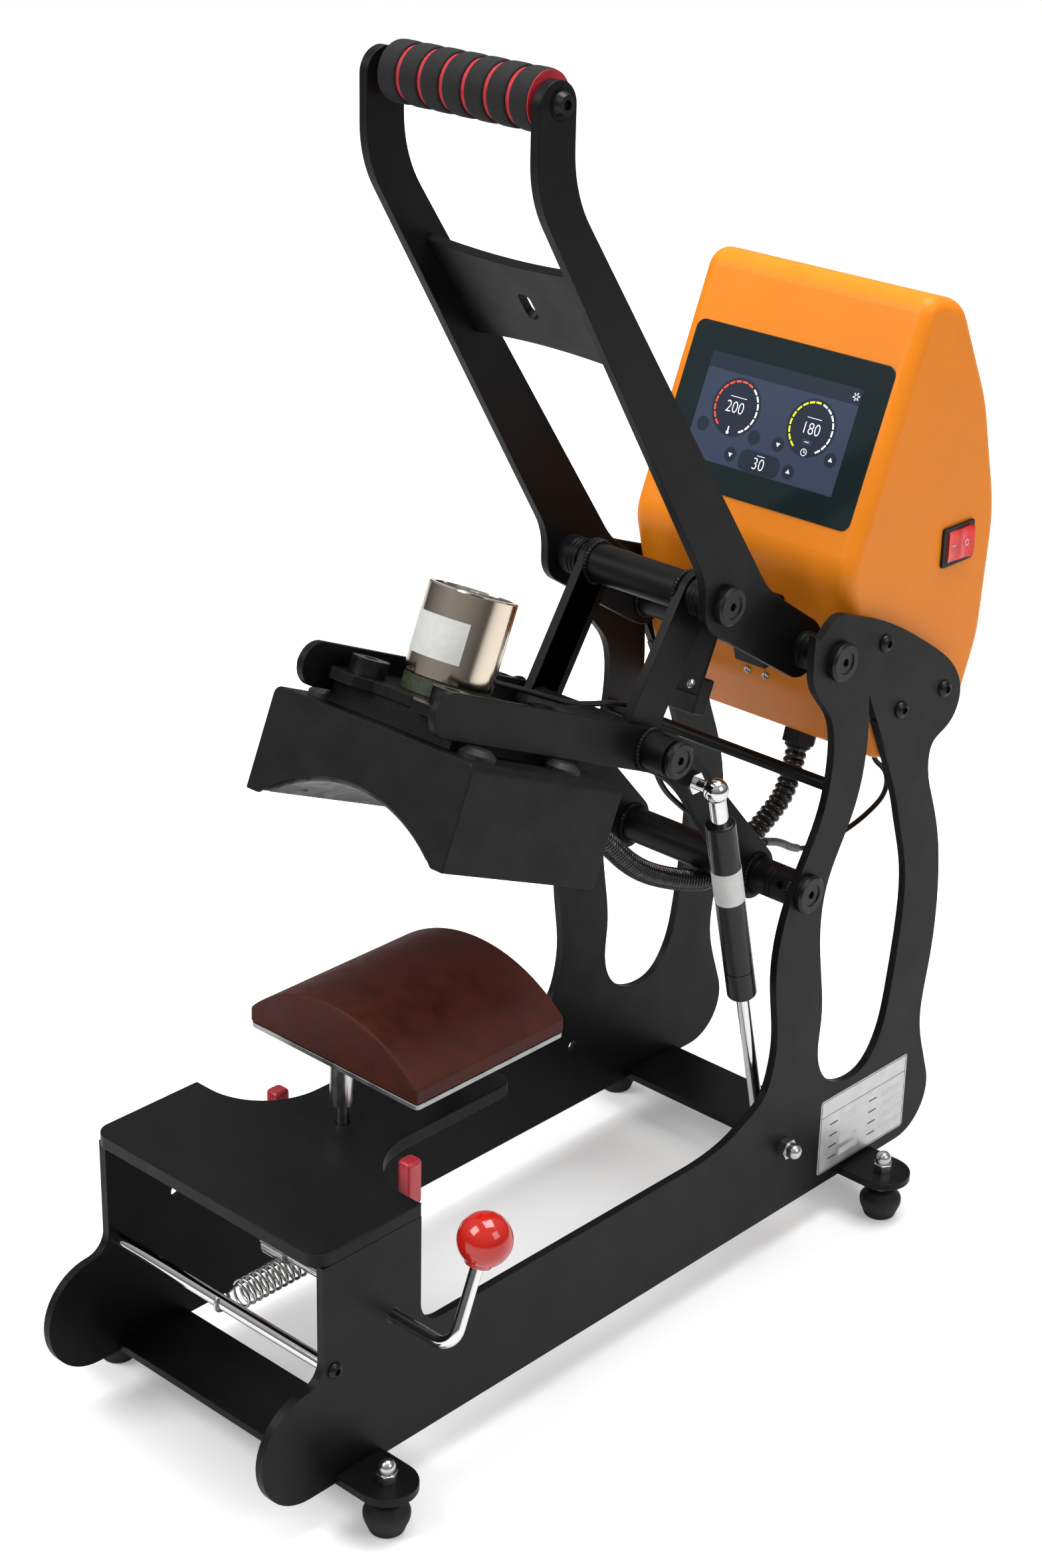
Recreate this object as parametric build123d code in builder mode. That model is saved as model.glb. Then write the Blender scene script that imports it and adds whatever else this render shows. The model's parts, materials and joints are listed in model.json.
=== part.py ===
"""Cap heat press: a clamshell press with a toggle handle, a heated upper block that comes down level
on a domed lower platen, a gas spring that holds it open and a spring-loaded cap clamp below.

Everything is drawn in a side drawing: y to the rear and z up, both in millimetres, from the lower
front corner of the side plates. It stands in the model's frame with X across the press, the origin
on the bench in the middle of the four feet. The press is drawn open, its rest position.
"""

import os
from math import atan2, cos, degrees, hypot, radians, sin, sqrt, tan

from build123d import *

os.makedirs("parts", exist_ok=True)

# Stand: the side drawing's height above the bench and the feet's places in it
foot_drop = 27.0
front_foot_y = -375.0
rear_foot_y = 64.0
foot_x = 112.0
datum_y = -(front_foot_y + rear_foot_y) / 2

# Pivots in the side drawing, with the press open
handle_axis = (11.0, 361.0)
rocker_axis = (-7.0, 218.0)
link_axis = (-62.3, 407.3)
nose_up = 23.1
link_on_rocker = (-140.0, 63.0)
handle_swing = 56.0
gas_foot = (-13.0, 46.0)
gas_on_rocker = (-94.5, 49.0)
gas_x = 72.0
lever_axis = (-348.6, 86.4)
grip_axis = (-209.5, 704.8)

# Stations across the press, from the middle plane outwards
plate_inner = 85.0
plate_thickness = 5.0
plate_outer = plate_inner + plate_thickness
arm_inner = 56.5
arm_outer = 62.5
rocker_inner = 47.0
rocker_outer = 52.0
link_inner = 34.0
link_outer = 40.0

# Pivot hardware
frame_pin_radius = 7.0
link_pin_radius = 6.0
running = 0.05
side_play = 0.2
boss_radius = 11.0
cap_radius = 12.0
cap_height = 5.0
cap_bevel = 1.4
cap_recess = 6.8
arm_end = 18.0
rocker_end = 16.5
link_width = 28.6
link_lead = 11.3
link_end = 14.2
tube_radius = 11.5
rocker_tube_radius = 11.0

# Stand details
rod_radius = 4.0
bar_thickness = 5.0
tab_radius = 17.5
spring_rod_place = (-392.0, 73.0)
tie_rod_place = (17.0, 278.2)
box_screws = ((54.7, 360.0), (119.1, 312.7), (75.4, 311.6))
screw_radius = 3.0
screw_head_radius = 5.5
screw_head_height = 3.3

foot_top = -6.0
foot_waist = -17.0
acorn_hexagon = 5.5
acorn_neck = 3.0
acorn_radius = 4.9

# Shelf and lower platen
shelf_z = 139.0
shelf_thickness = 8.0
shelf_front = -403.5
shelf_back = -328.0
tongue_back = -200.0
tongue_half = 36.0
tongue_arc = 42.0
platen_front = -308.0
platen_back = -192.0
platen_half = 66.0
platen_z = 184.6
platen_base_thickness = 3.0
pad_side = 9.0
pad_crown = 35.4
post_places = (-300.0, -215.0)
post_stud_radius = 3.75

# Rocker head, in the rocker's own level drawing: u along it, v up, from the rocker's pivot
housing_half = 75.0
housing_front = -312.0
housing_back = -183.0
housing_bottom = -15.5
housing_top = 43.5
housing_wall = 3.0
arch_half = 66.0
arch_crown = 9.3
face_radius = 98.0
face_crown = 7.0
heat_thickness = 12.0
bridge_bottom = 57.5
bridge_top = 63.5
bridge_back = -175.0
notch_depth = 9.0
magnet_u = -263.0
magnet_radius = 25.0
insulator_height = 9.5
magnet_height = 50.0
bridge_screw_places = ((30.5, -293.0), (-30.5, -293.0), (30.5, -213.0), (-30.5, -213.0))
cap_places = ((57.0, -290.0), (-57.0, -290.0), (57.0, -218.0), (-57.0, -218.0))

# Gas spring, along its own axis from its lower stud
gas_cylinder_radius = 9.0
gas_rod_radius = 4.0
gas_neck = 22.0
gas_cylinder_length = 126.5
gas_cap_length = 19.5
gas_ball_radius = 4.0
gas_play = 1.4
gas_socket_radius = 7.5

# Control box: its side outline, shell and screen
box_half = 83.0
box_wall = 3.0
box_edge = 9.0
box_outline = (
    ((86.5, 561.5), 14.0),
    ((121.0, 551.0), 26.0),
    ((153.0, 487.0), 120.0),
    ((172.0, 414.0), 110.0),
    ((166.0, 334.0), 70.0),
    ((149.0, 289.0), 16.0),
    ((120.0, 263.0), 22.0),
    ((66.0, 278.5), 14.0),
    ((44.5, 317.0), 60.0),
    ((21.8, 406.9), 30.0),
)
parting = ((104.0, 600.0), (104.5, 543.0), (111.0, 427.0), (116.0, 351.0), (131.0, 337.0), (200.0, 330.0))
screen_low = (31.3, 429.6)
screen_high = (69.2, 520.1)
screen_width = 148.0
screen_thickness = 2.4
screen_proud = 0.6
switch_place = (129.0, 402.0)
switch_length = 31.0
switch_height = 25.0
switch_tilt = 7.0

# Cap clamp
lever_radius = 3.5
lever_x = 134.0
lever_lean = 22.0
lever_length = 62.0
knob_radius = 15.1
finger_x = 53.0
finger_y = -300.0
finger_top = 146.0

# Grip
grip_radius = 16.0
grip_layer = 1.6
grip_from = -49.7
grip_to = 54.0
grip_tube_radius = 8.0
ring_count = 7
groove_width = 3.0


def spot(x, y, z):
    """The place in the model of a point of the side drawing at station x."""
    return (x, y + datum_y, z + foot_drop)


def side(x, centre=(0.0, 0.0), turn=0.0):
    """The side drawing at station x, moved to centre and turned about it."""
    rearward = (0, cos(radians(turn)), sin(radians(turn)))
    return Plane(origin=spot(x, *centre), x_dir=rearward, z_dir=(1, 0, 0))


def level(x):
    """The rocker's own drawing at station x."""
    return side(x, rocker_axis, -nose_up)


def floor(z):
    """A level plane at height z of the side drawing, X across and Y to the rear."""
    return Plane(origin=spot(0, 0, z), x_dir=(1, 0, 0), z_dir=(0, 0, 1))


def deck(v):
    """A plane on the rocker at height v of its own drawing, X across and Y along it."""
    rise = radians(nose_up)
    origin = spot(0, rocker_axis[0] + v * sin(rise), rocker_axis[1] + v * cos(rise))
    return Plane(origin=origin, x_dir=(1, 0, 0), z_dir=(0, sin(rise), cos(rise)))


def on_rocker(u, v):
    """A point of the rocker's own drawing as a point of the side drawing."""
    rise = radians(nose_up)
    y = rocker_axis[0] + u * cos(rise) + v * sin(rise)
    z = rocker_axis[1] - u * sin(rise) + v * cos(rise)
    return (y, z)


def turned(centre, radius, angle):
    """The point at an angle on a circle."""
    return (centre[0] + radius * cos(radians(angle)), centre[1] + radius * sin(radians(angle)))


def heading(start, end):
    """The direction from one point to another, in degrees."""
    return degrees(atan2(end[1] - start[1], end[0] - start[0]))


def arc_radius(half, rise):
    """The radius of an arc from half its chord and its rise."""
    return (half**2 + rise**2) / (2 * rise)


def save(builder, name):
    """Labels a finished piece and writes it."""
    builder.part.label = name
    export_step(builder.part, f"parts/{name}.step")


def rod(x_from, x_to, centre, radius, mode=Mode.ADD):
    """A round bar across the press."""
    with BuildSketch(side(x_from)) as disc:
        with Locations(centre):
            Circle(radius)
    extrude(disc.sketch, amount=x_to - x_from, mode=mode)


def hexagon(x_from, x_to, centre, radius, mode=Mode.ADD):
    """A hexagon across the press: a nut, or a socket in a screw's head."""
    with BuildSketch(side(x_from)) as outline:
        with Locations(centre):
            RegularPolygon(radius=radius, side_count=6)
    extrude(outline.sketch, amount=x_to - x_from, mode=mode)


def collar(x_from, x_to, centre, radius, bore, grooves=()):
    """A turned ring across the press, with narrow grooves round it."""
    rod(x_from, x_to, centre, radius)
    for groove in grooves:
        with BuildSketch(side(groove)) as ring:
            with Locations(centre):
                Circle(radius)
                Circle(radius - 0.7, mode=Mode.SUBTRACT)
        extrude(ring.sketch, amount=1.2, mode=Mode.SUBTRACT)
    rod(x_from, x_to, centre, bore, mode=Mode.SUBTRACT)


def set_screw_hole(x, centre, reach, angle=90.0):
    """A radial screw hole into a boss."""
    outward = (0, cos(radians(angle)), sin(radians(angle)))
    with BuildSketch(Plane(origin=spot(x, *centre), x_dir=(1, 0, 0), z_dir=outward)) as hole:
        Circle(2.4)
    extrude(hole.sketch, amount=reach, mode=Mode.SUBTRACT)


def cap_pin(x_face, x_end, centre, head_radius, head_height, radius):
    """A pin with a bevelled round cap and a sunk hexagon socket, put in from outside."""
    top = x_face + head_height
    rod(x_face, top - cap_bevel, centre, head_radius)
    with BuildSketch(side(top - cap_bevel)) as rim:
        with Locations(centre):
            Circle(head_radius)
    extrude(rim.sketch, amount=cap_bevel, taper=45)
    rod(x_face, x_end, centre, radius)
    rod(top, top - 0.8, centre, cap_recess, mode=Mode.SUBTRACT)
    hexagon(top - 0.8, top - 3.4, centre, 2.6, mode=Mode.SUBTRACT)


def cross_tube(half, centre, radius, bore, hollow, seat):
    """A round tube across the press, plugged at both ends round its pins."""
    rod(-half, half, centre, radius)
    rod(seat - half, half - seat, centre, hollow, mode=Mode.SUBTRACT)
    rod(-half, half, centre, bore, mode=Mode.SUBTRACT)


# ---------------------------------------------------------------- stand


def side_plate(x_from):
    """One side of the stand: nose, low rail, upright for the shelf and a tall rear post with a window."""
    nose = (-410.0, 34.0)
    nose_radius = 34.0
    throat = 13.0
    front = shelf_front + 4
    rail_top = 68.5
    joint_z = nose[1] + sqrt((nose_radius + throat) ** 2 - (nose[0] - front + throat) ** 2)
    throat_end = turned(nose, nose_radius, heading(nose, (front - throat, joint_z)))
    with BuildSketch(side(x_from)) as outline:
        with BuildLine():
            Polyline((shelf_back, shelf_z), (front, shelf_z), (front, joint_z))
            notch = TangentArc((front, joint_z), throat_end, tangent=(0, -1))
            TangentArc(throat_end, (nose[0], 0), tangent=notch % 1)
            Line((nose[0], 0), (108, 0))
            heel = TangentArc((108, 0), (136.4, 39.1), tangent=(1, 0))
            back = Spline(
                heel @ 1, (124, 84), (128.8, 122), (131.2, 178), (125.9, 213.4), (117.2, 239), (109.2, 267),
                (111.9, 278.6), (126.9, 286.7), (137.1, 305), (128.7, 324.2), (105.6, 343.4), (76.5, 361.8),
                (48.7, 376), (22.2, 385.9), (1.3, 387.5), (-11.1, 378.7), (-14, 362), tangents=(heel % 1, (0, -1)),
            )
            Spline(
                back @ 1, (-7.4, 343.3), (5.7, 327), (11, 295.8), (4.2, 263.5), (-15.9, 227.2), (-29.3, 189.7),
                (-30.4, 165), (-25.8, 121.7), (-29.8, 99.4), (-40, 85.1), (-59.4, 74.7), (-100.6, rail_top),
                tangents=(back % 1, (-1, 0)),
            )
            Line((-100.6, rail_top), (shelf_back + 15.4, rail_top))
            TangentArc((shelf_back + 15.4, rail_top), (shelf_back, rail_top + 15.4), tangent=(-1, 0))
            Line((shelf_back, rail_top + 15.4), (shelf_back, shelf_z))
        make_face()
        with BuildLine():
            front_side = Spline(
                (42, 331), (43.8, 307), (42.5, 284.7), (36.1, 260.7), (13.3, 215.3), (10.1, 188), (14.4, 153.8),
                (17.5, 123), (16.2, 101), (23, 81.7), (37.6, 71), (50, 68),
            )
            Spline(
                front_side @ 1, (66.3, 70.8), (79.8, 85.5), (88.6, 116.4), (94.3, 161), (93, 203), (83.4, 235),
                (69.9, 271.8), (53.8, 305.7), (42, 331), tangents=(front_side % 1, (-1, 2)),
            )
        make_face(mode=Mode.SUBTRACT)
        with Locations(handle_axis, rocker_axis):
            Circle(frame_pin_radius, mode=Mode.SUBTRACT)
        with Locations(gas_foot, spring_rod_place, tie_rod_place):
            Circle(rod_radius, mode=Mode.SUBTRACT)
        with Locations(*box_screws):
            Circle(screw_radius, mode=Mode.SUBTRACT)
        with Locations(lever_axis):
            Circle(lever_radius + 1.5, mode=Mode.SUBTRACT)
    extrude(outline.sketch, amount=plate_thickness)


with BuildPart() as side_plate_right:
    side_plate(plate_inner)
save(side_plate_right, "side_plate_right")

with BuildPart() as side_plate_left:
    side_plate(-plate_outer)
save(side_plate_left, "side_plate_left")

with BuildPart() as cross_bars:
    with BuildSketch(floor(0)):
        for y, depth in ((-370.75, 49.5), (67.0, 50.0)):
            with Locations((0, y)):
                Rectangle(2 * plate_inner, depth)
        for y in (front_foot_y, rear_foot_y):
            with Locations((foot_x, y), (-foot_x, y)):
                Circle(tab_radius)
            for hand in (1, -1):
                with Locations((hand * (foot_x + plate_outer) / 2, y)):
                    Rectangle(foot_x - plate_outer, 2 * tab_radius)
            with Locations((foot_x, y), (-foot_x, y)):
                Circle(screw_radius, mode=Mode.SUBTRACT)
    extrude(amount=bar_thickness)
    # The tabs stop at the outer faces of the side plates
    for hand in (1, -1):
        with BuildSketch(side(hand * plate_inner)):
            with Locations(((front_foot_y + rear_foot_y) / 2, bar_thickness / 2)):
                Rectangle(600, 2 * bar_thickness)
        extrude(amount=hand * plate_thickness, mode=Mode.SUBTRACT)
save(cross_bars, "cross_bars")

with BuildPart() as tie_rod:
    rod(-plate_outer, plate_outer, tie_rod_place, rod_radius)
save(tie_rod, "tie_rod")

with BuildPart() as spring_rod:
    rod(-plate_outer, plate_outer, spring_rod_place, rod_radius)
    for x in (plate_outer, -plate_outer):
        rod(x, x * 0.9, spring_rod_place, 2.5, mode=Mode.SUBTRACT)
save(spring_rod, "spring_rod")

with BuildPart() as frame_screws:
    for place in box_screws:
        with BuildSketch(side(plate_outer)):
            with Locations(place):
                Circle(screw_head_radius)
        extrude(amount=screw_head_height, taper=18)
        rod(plate_outer, plate_outer - 12, place, screw_radius)
        hexagon(plate_outer + screw_head_height, plate_outer + 1.2, place, 2.2, mode=Mode.SUBTRACT)
    rod(plate_outer, plate_outer + 2.8, spring_rod_place, 4.8)
    rod(plate_outer, plate_outer - 8, spring_rod_place, 2.5)
    hexagon(plate_outer + 2.8, plate_outer + 1, spring_rod_place, 1.8, mode=Mode.SUBTRACT)
    mirror(about=Plane.YZ)
save(frame_screws, "frame_screws")


def four_feet(piece):
    """The same piece at each of the four feet, from one drawn at the origin."""
    for x in (foot_x, -foot_x):
        for y in (front_foot_y, rear_foot_y):
            add(piece.moved(Location(spot(x, y, 0))))


with BuildPart() as rubber_foot:
    with BuildSketch(Plane.XZ):
        with BuildLine():
            Polyline((0, foot_top), (9.5, foot_top), (11, foot_top - 3), (8, foot_waist), (11, 2 - foot_drop))
            Polyline((11, 2 - foot_drop), (10, -foot_drop), (0, -foot_drop), (0, foot_top))
        make_face()
    revolve(axis=Axis.Z)

with BuildPart() as rubber_feet:
    four_feet(rubber_foot.part)
save(rubber_feet, "rubber_feet")

with BuildPart() as foot_stud:
    with BuildSketch(Plane.XY.offset(foot_top)):
        Circle(8)
    extrude(amount=1.5)
    with BuildSketch(Plane.XY.offset(foot_top + 1.5)):
        RegularPolygon(radius=5.8, side_count=6)
    extrude(amount=-foot_top - 1.5)
    with BuildSketch(Plane.XY):
        Circle(screw_radius)
    extrude(amount=bar_thickness)
    with BuildSketch(Plane.XY.offset(bar_thickness)):
        RegularPolygon(radius=6.2, side_count=6)
    extrude(amount=acorn_hexagon)
    with BuildSketch(Plane.XY.offset(bar_thickness)):
        Circle(acorn_radius)
    extrude(amount=acorn_hexagon + acorn_neck)
    with Locations((0, 0, bar_thickness + acorn_hexagon + acorn_neck)):
        Sphere(acorn_radius)

with BuildPart() as foot_studs:
    four_feet(foot_stud.part)
save(foot_studs, "foot_studs")

# Shelf with a tongue that carries the lower platen
with BuildPart() as shelf:
    tongue_root = shelf_back + tongue_arc
    with BuildSketch(floor(shelf_z)):
        with BuildLine():
            FilletPolyline(
                (plate_outer, shelf_back), (plate_outer, shelf_front), (-plate_outer, shelf_front),
                (-plate_outer, shelf_back), radius=10,
            )
            Line((-plate_outer, shelf_back), (-tongue_half - tongue_arc, shelf_back))
            JernArc((-tongue_half - tongue_arc, shelf_back), (1, 0), tongue_arc, 90)
            FilletPolyline(
                (-tongue_half, tongue_root), (-tongue_half, tongue_back), (tongue_half, tongue_back),
                (tongue_half, tongue_root), radius=8,
            )
            JernArc((tongue_half, tongue_root), (0, -1), tongue_arc, 90)
            Line((tongue_half + tongue_arc, shelf_back), (plate_outer, shelf_back))
        make_face()
        with Locations(*[(0, y) for y in post_places]):
            Circle(post_stud_radius, mode=Mode.SUBTRACT)
    extrude(amount=shelf_thickness)
save(shelf, "shelf")

with BuildPart() as platen_posts:
    for y in post_places:
        for low, high, radius in (
            (shelf_z - 11, platen_z - 25, post_stud_radius), (platen_z - 25, platen_z, 7.0),
        ):
            with BuildSketch(floor(low)):
                with Locations((0, y)):
                    Circle(radius)
            extrude(amount=high - low)
        with BuildSketch(floor(shelf_z - 6.5)):
            with Locations((0, y)):
                RegularPolygon(radius=7.4, side_count=6)
        extrude(amount=6.5)
save(platen_posts, "platen_posts")

with BuildPart() as platen_base:
    with BuildSketch(floor(platen_z)):
        with Locations((0, (platen_front + platen_back) / 2)):
            RectangleRounded(2 * platen_half, platen_back - platen_front, 3)
    extrude(amount=platen_base_thickness)
save(platen_base, "platen_base")

# Domed silicone pad
with BuildPart() as platen_pad:
    base = platen_z + platen_base_thickness
    with BuildSketch(Plane(origin=spot(0, platen_front, 0), x_dir=(1, 0, 0), z_dir=(0, -1, 0))):
        with BuildLine():
            Polyline((-platen_half, base + pad_side), (-platen_half, base), (platen_half, base),
                     (platen_half, base + pad_side))
            ThreePointArc((platen_half, base + pad_side), (0, base + pad_crown), (-platen_half, base + pad_side))
        make_face()
    extrude(amount=platen_front - platen_back)
save(platen_pad, "platen_pad")

# ---------------------------------------------------------------- pivots on the stand

handle_pin_end = 45.0
rocker_pin_end = 38.0

with BuildPart() as frame_pivot_pins:
    cap_pin(plate_outer, handle_pin_end, handle_axis, cap_radius, cap_height, frame_pin_radius)
    cap_pin(plate_outer, rocker_pin_end, rocker_axis, cap_radius, cap_height, frame_pin_radius)
    mirror(about=Plane.YZ)
save(frame_pivot_pins, "frame_pivot_pins")

with BuildPart() as frame_pivot_bosses:
    collar(arm_outer + side_play, plate_inner, handle_axis, boss_radius, frame_pin_radius, grooves=(66, 70, 81))
    set_screw_hole(76.5, handle_axis, 20, 155)
    collar(60 + side_play, plate_inner, rocker_axis, boss_radius, frame_pin_radius, grooves=(67, 70))
    set_screw_hole(77.5, rocker_axis, 20, 155)
    mirror(about=Plane.YZ)
save(frame_pivot_bosses, "frame_pivot_bosses")

with BuildPart() as gas_lower_stud:
    rod(gas_x - 7, plate_outer + 6, gas_foot, gas_rod_radius)
    hexagon(80, plate_inner, gas_foot, 6.5)
    hexagon(plate_outer, plate_outer + acorn_hexagon, gas_foot, 6.8)
    rod(plate_outer, plate_outer + acorn_hexagon + acorn_neck, gas_foot, acorn_radius)
    with Locations(spot(plate_outer + acorn_hexagon + acorn_neck, *gas_foot)):
        Sphere(acorn_radius)
    rod(gas_x - 7, gas_x - 8.5, gas_foot, 5.5)
save(gas_lower_stud, "gas_lower_stud")

with BuildPart() as lever_bush:
    collar(plate_inner - 4, plate_inner, lever_axis, 7.5, lever_radius + running)
    collar(plate_inner, plate_outer, lever_axis, lever_radius + 1.5, lever_radius + running)
save(lever_bush, "lever_bush")

# ---------------------------------------------------------------- handle


def handle_arm(x_from):
    """A handle arm: round ends on the handle and link axes, an elbow, and an upright end for the grip."""
    line = heading(handle_axis, link_axis)
    low_start = turned(handle_axis, arm_end, line + 90)
    low_corner_run = (link_axis[0] - arm_end - low_start[0]) / cos(radians(line))
    low_corner = turned(low_start, low_corner_run, line)
    high_start = turned(handle_axis, arm_end, line - 90 - 1.5)
    knee = turned(high_start, 54.0, line - 1.5)
    front = grip_axis[0] - 15.8
    back = grip_axis[0] + 11.0
    top = grip_axis[1] + 11.7
    bend_z = 659.8
    elbow_z = link_axis[1] + 17
    with BuildSketch(side(x_from)) as outline:
        with BuildLine():
            FilletPolyline(
                high_start, knee, (back, bend_z), (back, top), (front, top), (front, bend_z),
                (link_axis[0] - arm_end, elbow_z), low_corner, low_start,
                radius=[60, 70, 13.3, 13.3, 65, 40, arm_end],
            )
            ThreePointArc(low_start, turned(handle_axis, arm_end, line + 180), high_start)
        make_face()
        with Locations(handle_axis):
            Circle(frame_pin_radius + running, mode=Mode.SUBTRACT)
        with Locations(link_axis):
            Circle(link_pin_radius, mode=Mode.SUBTRACT)
        with Locations(grip_axis):
            Circle(grip_tube_radius, mode=Mode.SUBTRACT)
    extrude(outline.sketch, amount=arm_outer - arm_inner)


with BuildPart() as handle_arm_right:
    handle_arm(arm_inner)
save(handle_arm_right, "handle_arm_right")

with BuildPart() as handle_arm_left:
    handle_arm(-arm_outer)
save(handle_arm_left, "handle_arm_left")

with BuildPart() as handle_cross_tube:
    cross_tube(arm_inner, handle_axis, tube_radius, frame_pin_radius + running, 9.5, 13)
save(handle_cross_tube, "handle_cross_tube")

with BuildPart() as handle_bosses:
    collar(42, arm_inner, link_axis, tube_radius, link_pin_radius, grooves=(44, 47))
    collar(link_outer + side_play, 42, link_axis, 10, link_pin_radius)
    set_screw_hole(52, link_axis, 20, -60)
    mirror(about=Plane.YZ)
save(handle_bosses, "handle_bosses")

with BuildPart() as handle_pins:
    cap_pin(arm_outer, 24, link_axis, 11.5, 6, link_pin_radius)
    with BuildSketch(side(arm_outer)):
        with Locations(grip_axis):
            Circle(6.6)
    extrude(amount=4, taper=22)
    rod(arm_outer, arm_outer - 14, grip_axis, 5)
    hexagon(arm_outer + 4, arm_outer + 1, grip_axis, 2.9, mode=Mode.SUBTRACT)
    mirror(about=Plane.YZ)
save(handle_pins, "handle_pins")

striker_along = -281.6
striker_low = -19.7
striker_thickness = 5.0
striker_depth = 70.0
striker_waist = 4.5

# Drawn lying on the magnet, with the handle down, and turned back to the open handle
with BuildPart() as striker_plate:
    lying = side(0, handle_axis, -handle_swing)
    with BuildSketch(lying):
        with Locations((striker_along, striker_low + striker_thickness / 2)):
            Rectangle(striker_depth, striker_thickness)
    extrude(amount=arm_inner, both=True)
    waist_radius = arc_radius(arm_inner, striker_waist)
    top = lying.from_local_coords((striker_along, striker_low + striker_thickness, 0))
    with BuildSketch(Plane(origin=top, x_dir=(1, 0, 0), z_dir=lying.y_dir)):
        for hand in (1, -1):
            with Locations((0, hand * (striker_depth / 2 - striker_waist + waist_radius))):
                Circle(waist_radius)
        SlotOverall(18, 8, rotation=90)
    extrude(amount=-striker_thickness, mode=Mode.SUBTRACT)
save(striker_plate, "striker_plate")

with BuildPart() as grip_tube:
    collar(-arm_outer, arm_outer, grip_axis, grip_tube_radius, 5)
save(grip_tube, "grip_tube")

# A soft sleeve over a liner whose colour shows in the grooves and at its end
with BuildPart() as grip_liner:
    collar(grip_from, grip_to, grip_axis, grip_radius - grip_layer, grip_tube_radius)
    collar(grip_to - 0.6, grip_to, grip_axis, grip_radius - 0.4, grip_tube_radius)
save(grip_liner, "grip_liner")

with BuildPart() as grip_foam:
    pitch = (grip_to - 0.6 - grip_from + groove_width) / ring_count
    for ring in range(ring_count):
        start = grip_from + pitch * ring
        collar(start, start + pitch - groove_width, grip_axis, grip_radius, grip_radius - grip_layer)
    chamfer(grip_foam.edges().filter_by(GeomType.CIRCLE).sort_by(SortBy.RADIUS)[-2 * ring_count:], 0.6)
save(grip_foam, "grip_foam")

# ---------------------------------------------------------------- links

link_foot = on_rocker(*link_on_rocker)

link_line = heading(link_axis, link_foot)
link_length = hypot(link_foot[0] - link_axis[0], link_foot[1] - link_axis[1])

with BuildPart() as link_frame:
    for x in (link_inner, -link_outer):
        with BuildSketch(side(x, link_axis, link_line)):
            with Locations((link_length / 2, link_width / 2 - link_lead)):
                RectangleRounded(link_length + 2 * link_end, link_width, link_end)
        extrude(amount=link_outer - link_inner)
    for centre in (link_axis, link_foot):
        rod(-link_inner, link_inner, centre, tube_radius)
        rod(16 - link_inner, link_inner - 16, centre, tube_radius - 2.5, mode=Mode.SUBTRACT)
        rod(-link_outer, link_outer, centre, link_pin_radius + running, mode=Mode.SUBTRACT)
save(link_frame, "link_frame")

# ---------------------------------------------------------------- rocker


def rocker_plate(x_from):
    """A rocker plate: a level arm over the platen and a straight leg down to the rocker axis."""
    tip_top = 74.8
    tip_low = 49.7
    tip_front = -325.4
    leg_top_angle = 64.4
    leg_low_angle = 238.5
    leg_top = turned((0, 0), rocker_end, leg_top_angle)
    leg_low = turned((0, 0), rocker_end, leg_low_angle)
    shoulder = leg_top[0] - (tip_top - leg_top[1]) * tan(radians(leg_top_angle))
    armpit = leg_low[0] - (tip_low - leg_low[1]) * tan(radians(leg_low_angle))
    with BuildSketch(level(x_from)) as outline:
        with BuildLine():
            FilletPolyline(
                leg_top, (shoulder, tip_top), (tip_front, tip_top), (tip_front, tip_low), (armpit, tip_low), leg_low,
                radius=[45, 12.5, 12.5, 95],
            )
            ThreePointArc(leg_low, turned((0, 0), rocker_end, -30), leg_top)
        make_face()
        with Locations((0, 0)):
            Circle(frame_pin_radius + running, mode=Mode.SUBTRACT)
        with Locations(link_on_rocker):
            Circle(link_pin_radius, mode=Mode.SUBTRACT)
        with Locations(gas_on_rocker):
            Circle(3.5, mode=Mode.SUBTRACT)
    extrude(outline.sketch, amount=rocker_outer - rocker_inner)


with BuildPart() as rocker_plate_right:
    rocker_plate(rocker_inner)
save(rocker_plate_right, "rocker_plate_right")

with BuildPart() as rocker_plate_left:
    rocker_plate(-rocker_outer)
save(rocker_plate_left, "rocker_plate_left")

with BuildPart() as rocker_tube:
    cross_tube(rocker_inner, rocker_axis, rocker_tube_radius, frame_pin_radius + running, 9, 12)
save(rocker_tube, "rocker_tube")

with BuildPart() as carrier_bosses:
    collar(rocker_outer, 60, rocker_axis, boss_radius, frame_pin_radius + running, grooves=(57,))
    collar(rocker_outer, 70, link_foot, boss_radius + 0.3, link_pin_radius)
    set_screw_hole(62, link_foot, 20, 75)
    mirror(about=Plane.YZ)
save(carrier_bosses, "carrier_bosses")

with BuildPart() as carrier_pins:
    rod(70, 72.5, link_foot, 9)
    cap_pin(72.5, link_outer + side_play, link_foot, boss_radius, 3.5, link_pin_radius)
    mirror(about=Plane.YZ)
save(carrier_pins, "carrier_pins")

with BuildPart() as bridge_plate:
    with BuildSketch(deck(bridge_bottom)):
        with BuildLine():
            FilletPolyline(
                (-rocker_inner, bridge_back), (-rocker_inner, housing_front + 8), (8 - rocker_inner, housing_front),
                (-22, housing_front), (-14, housing_front + notch_depth), (14, housing_front + notch_depth),
                (22, housing_front), (rocker_inner - 8, housing_front), (rocker_inner, housing_front + 8),
                (rocker_inner, bridge_back), radius=2,
            )
            Line((rocker_inner, bridge_back), (-rocker_inner, bridge_back))
        make_face()
        with Locations(*bridge_screw_places):
            Circle(4, mode=Mode.SUBTRACT)
    extrude(amount=bridge_top - bridge_bottom)
save(bridge_plate, "bridge_plate")

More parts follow.
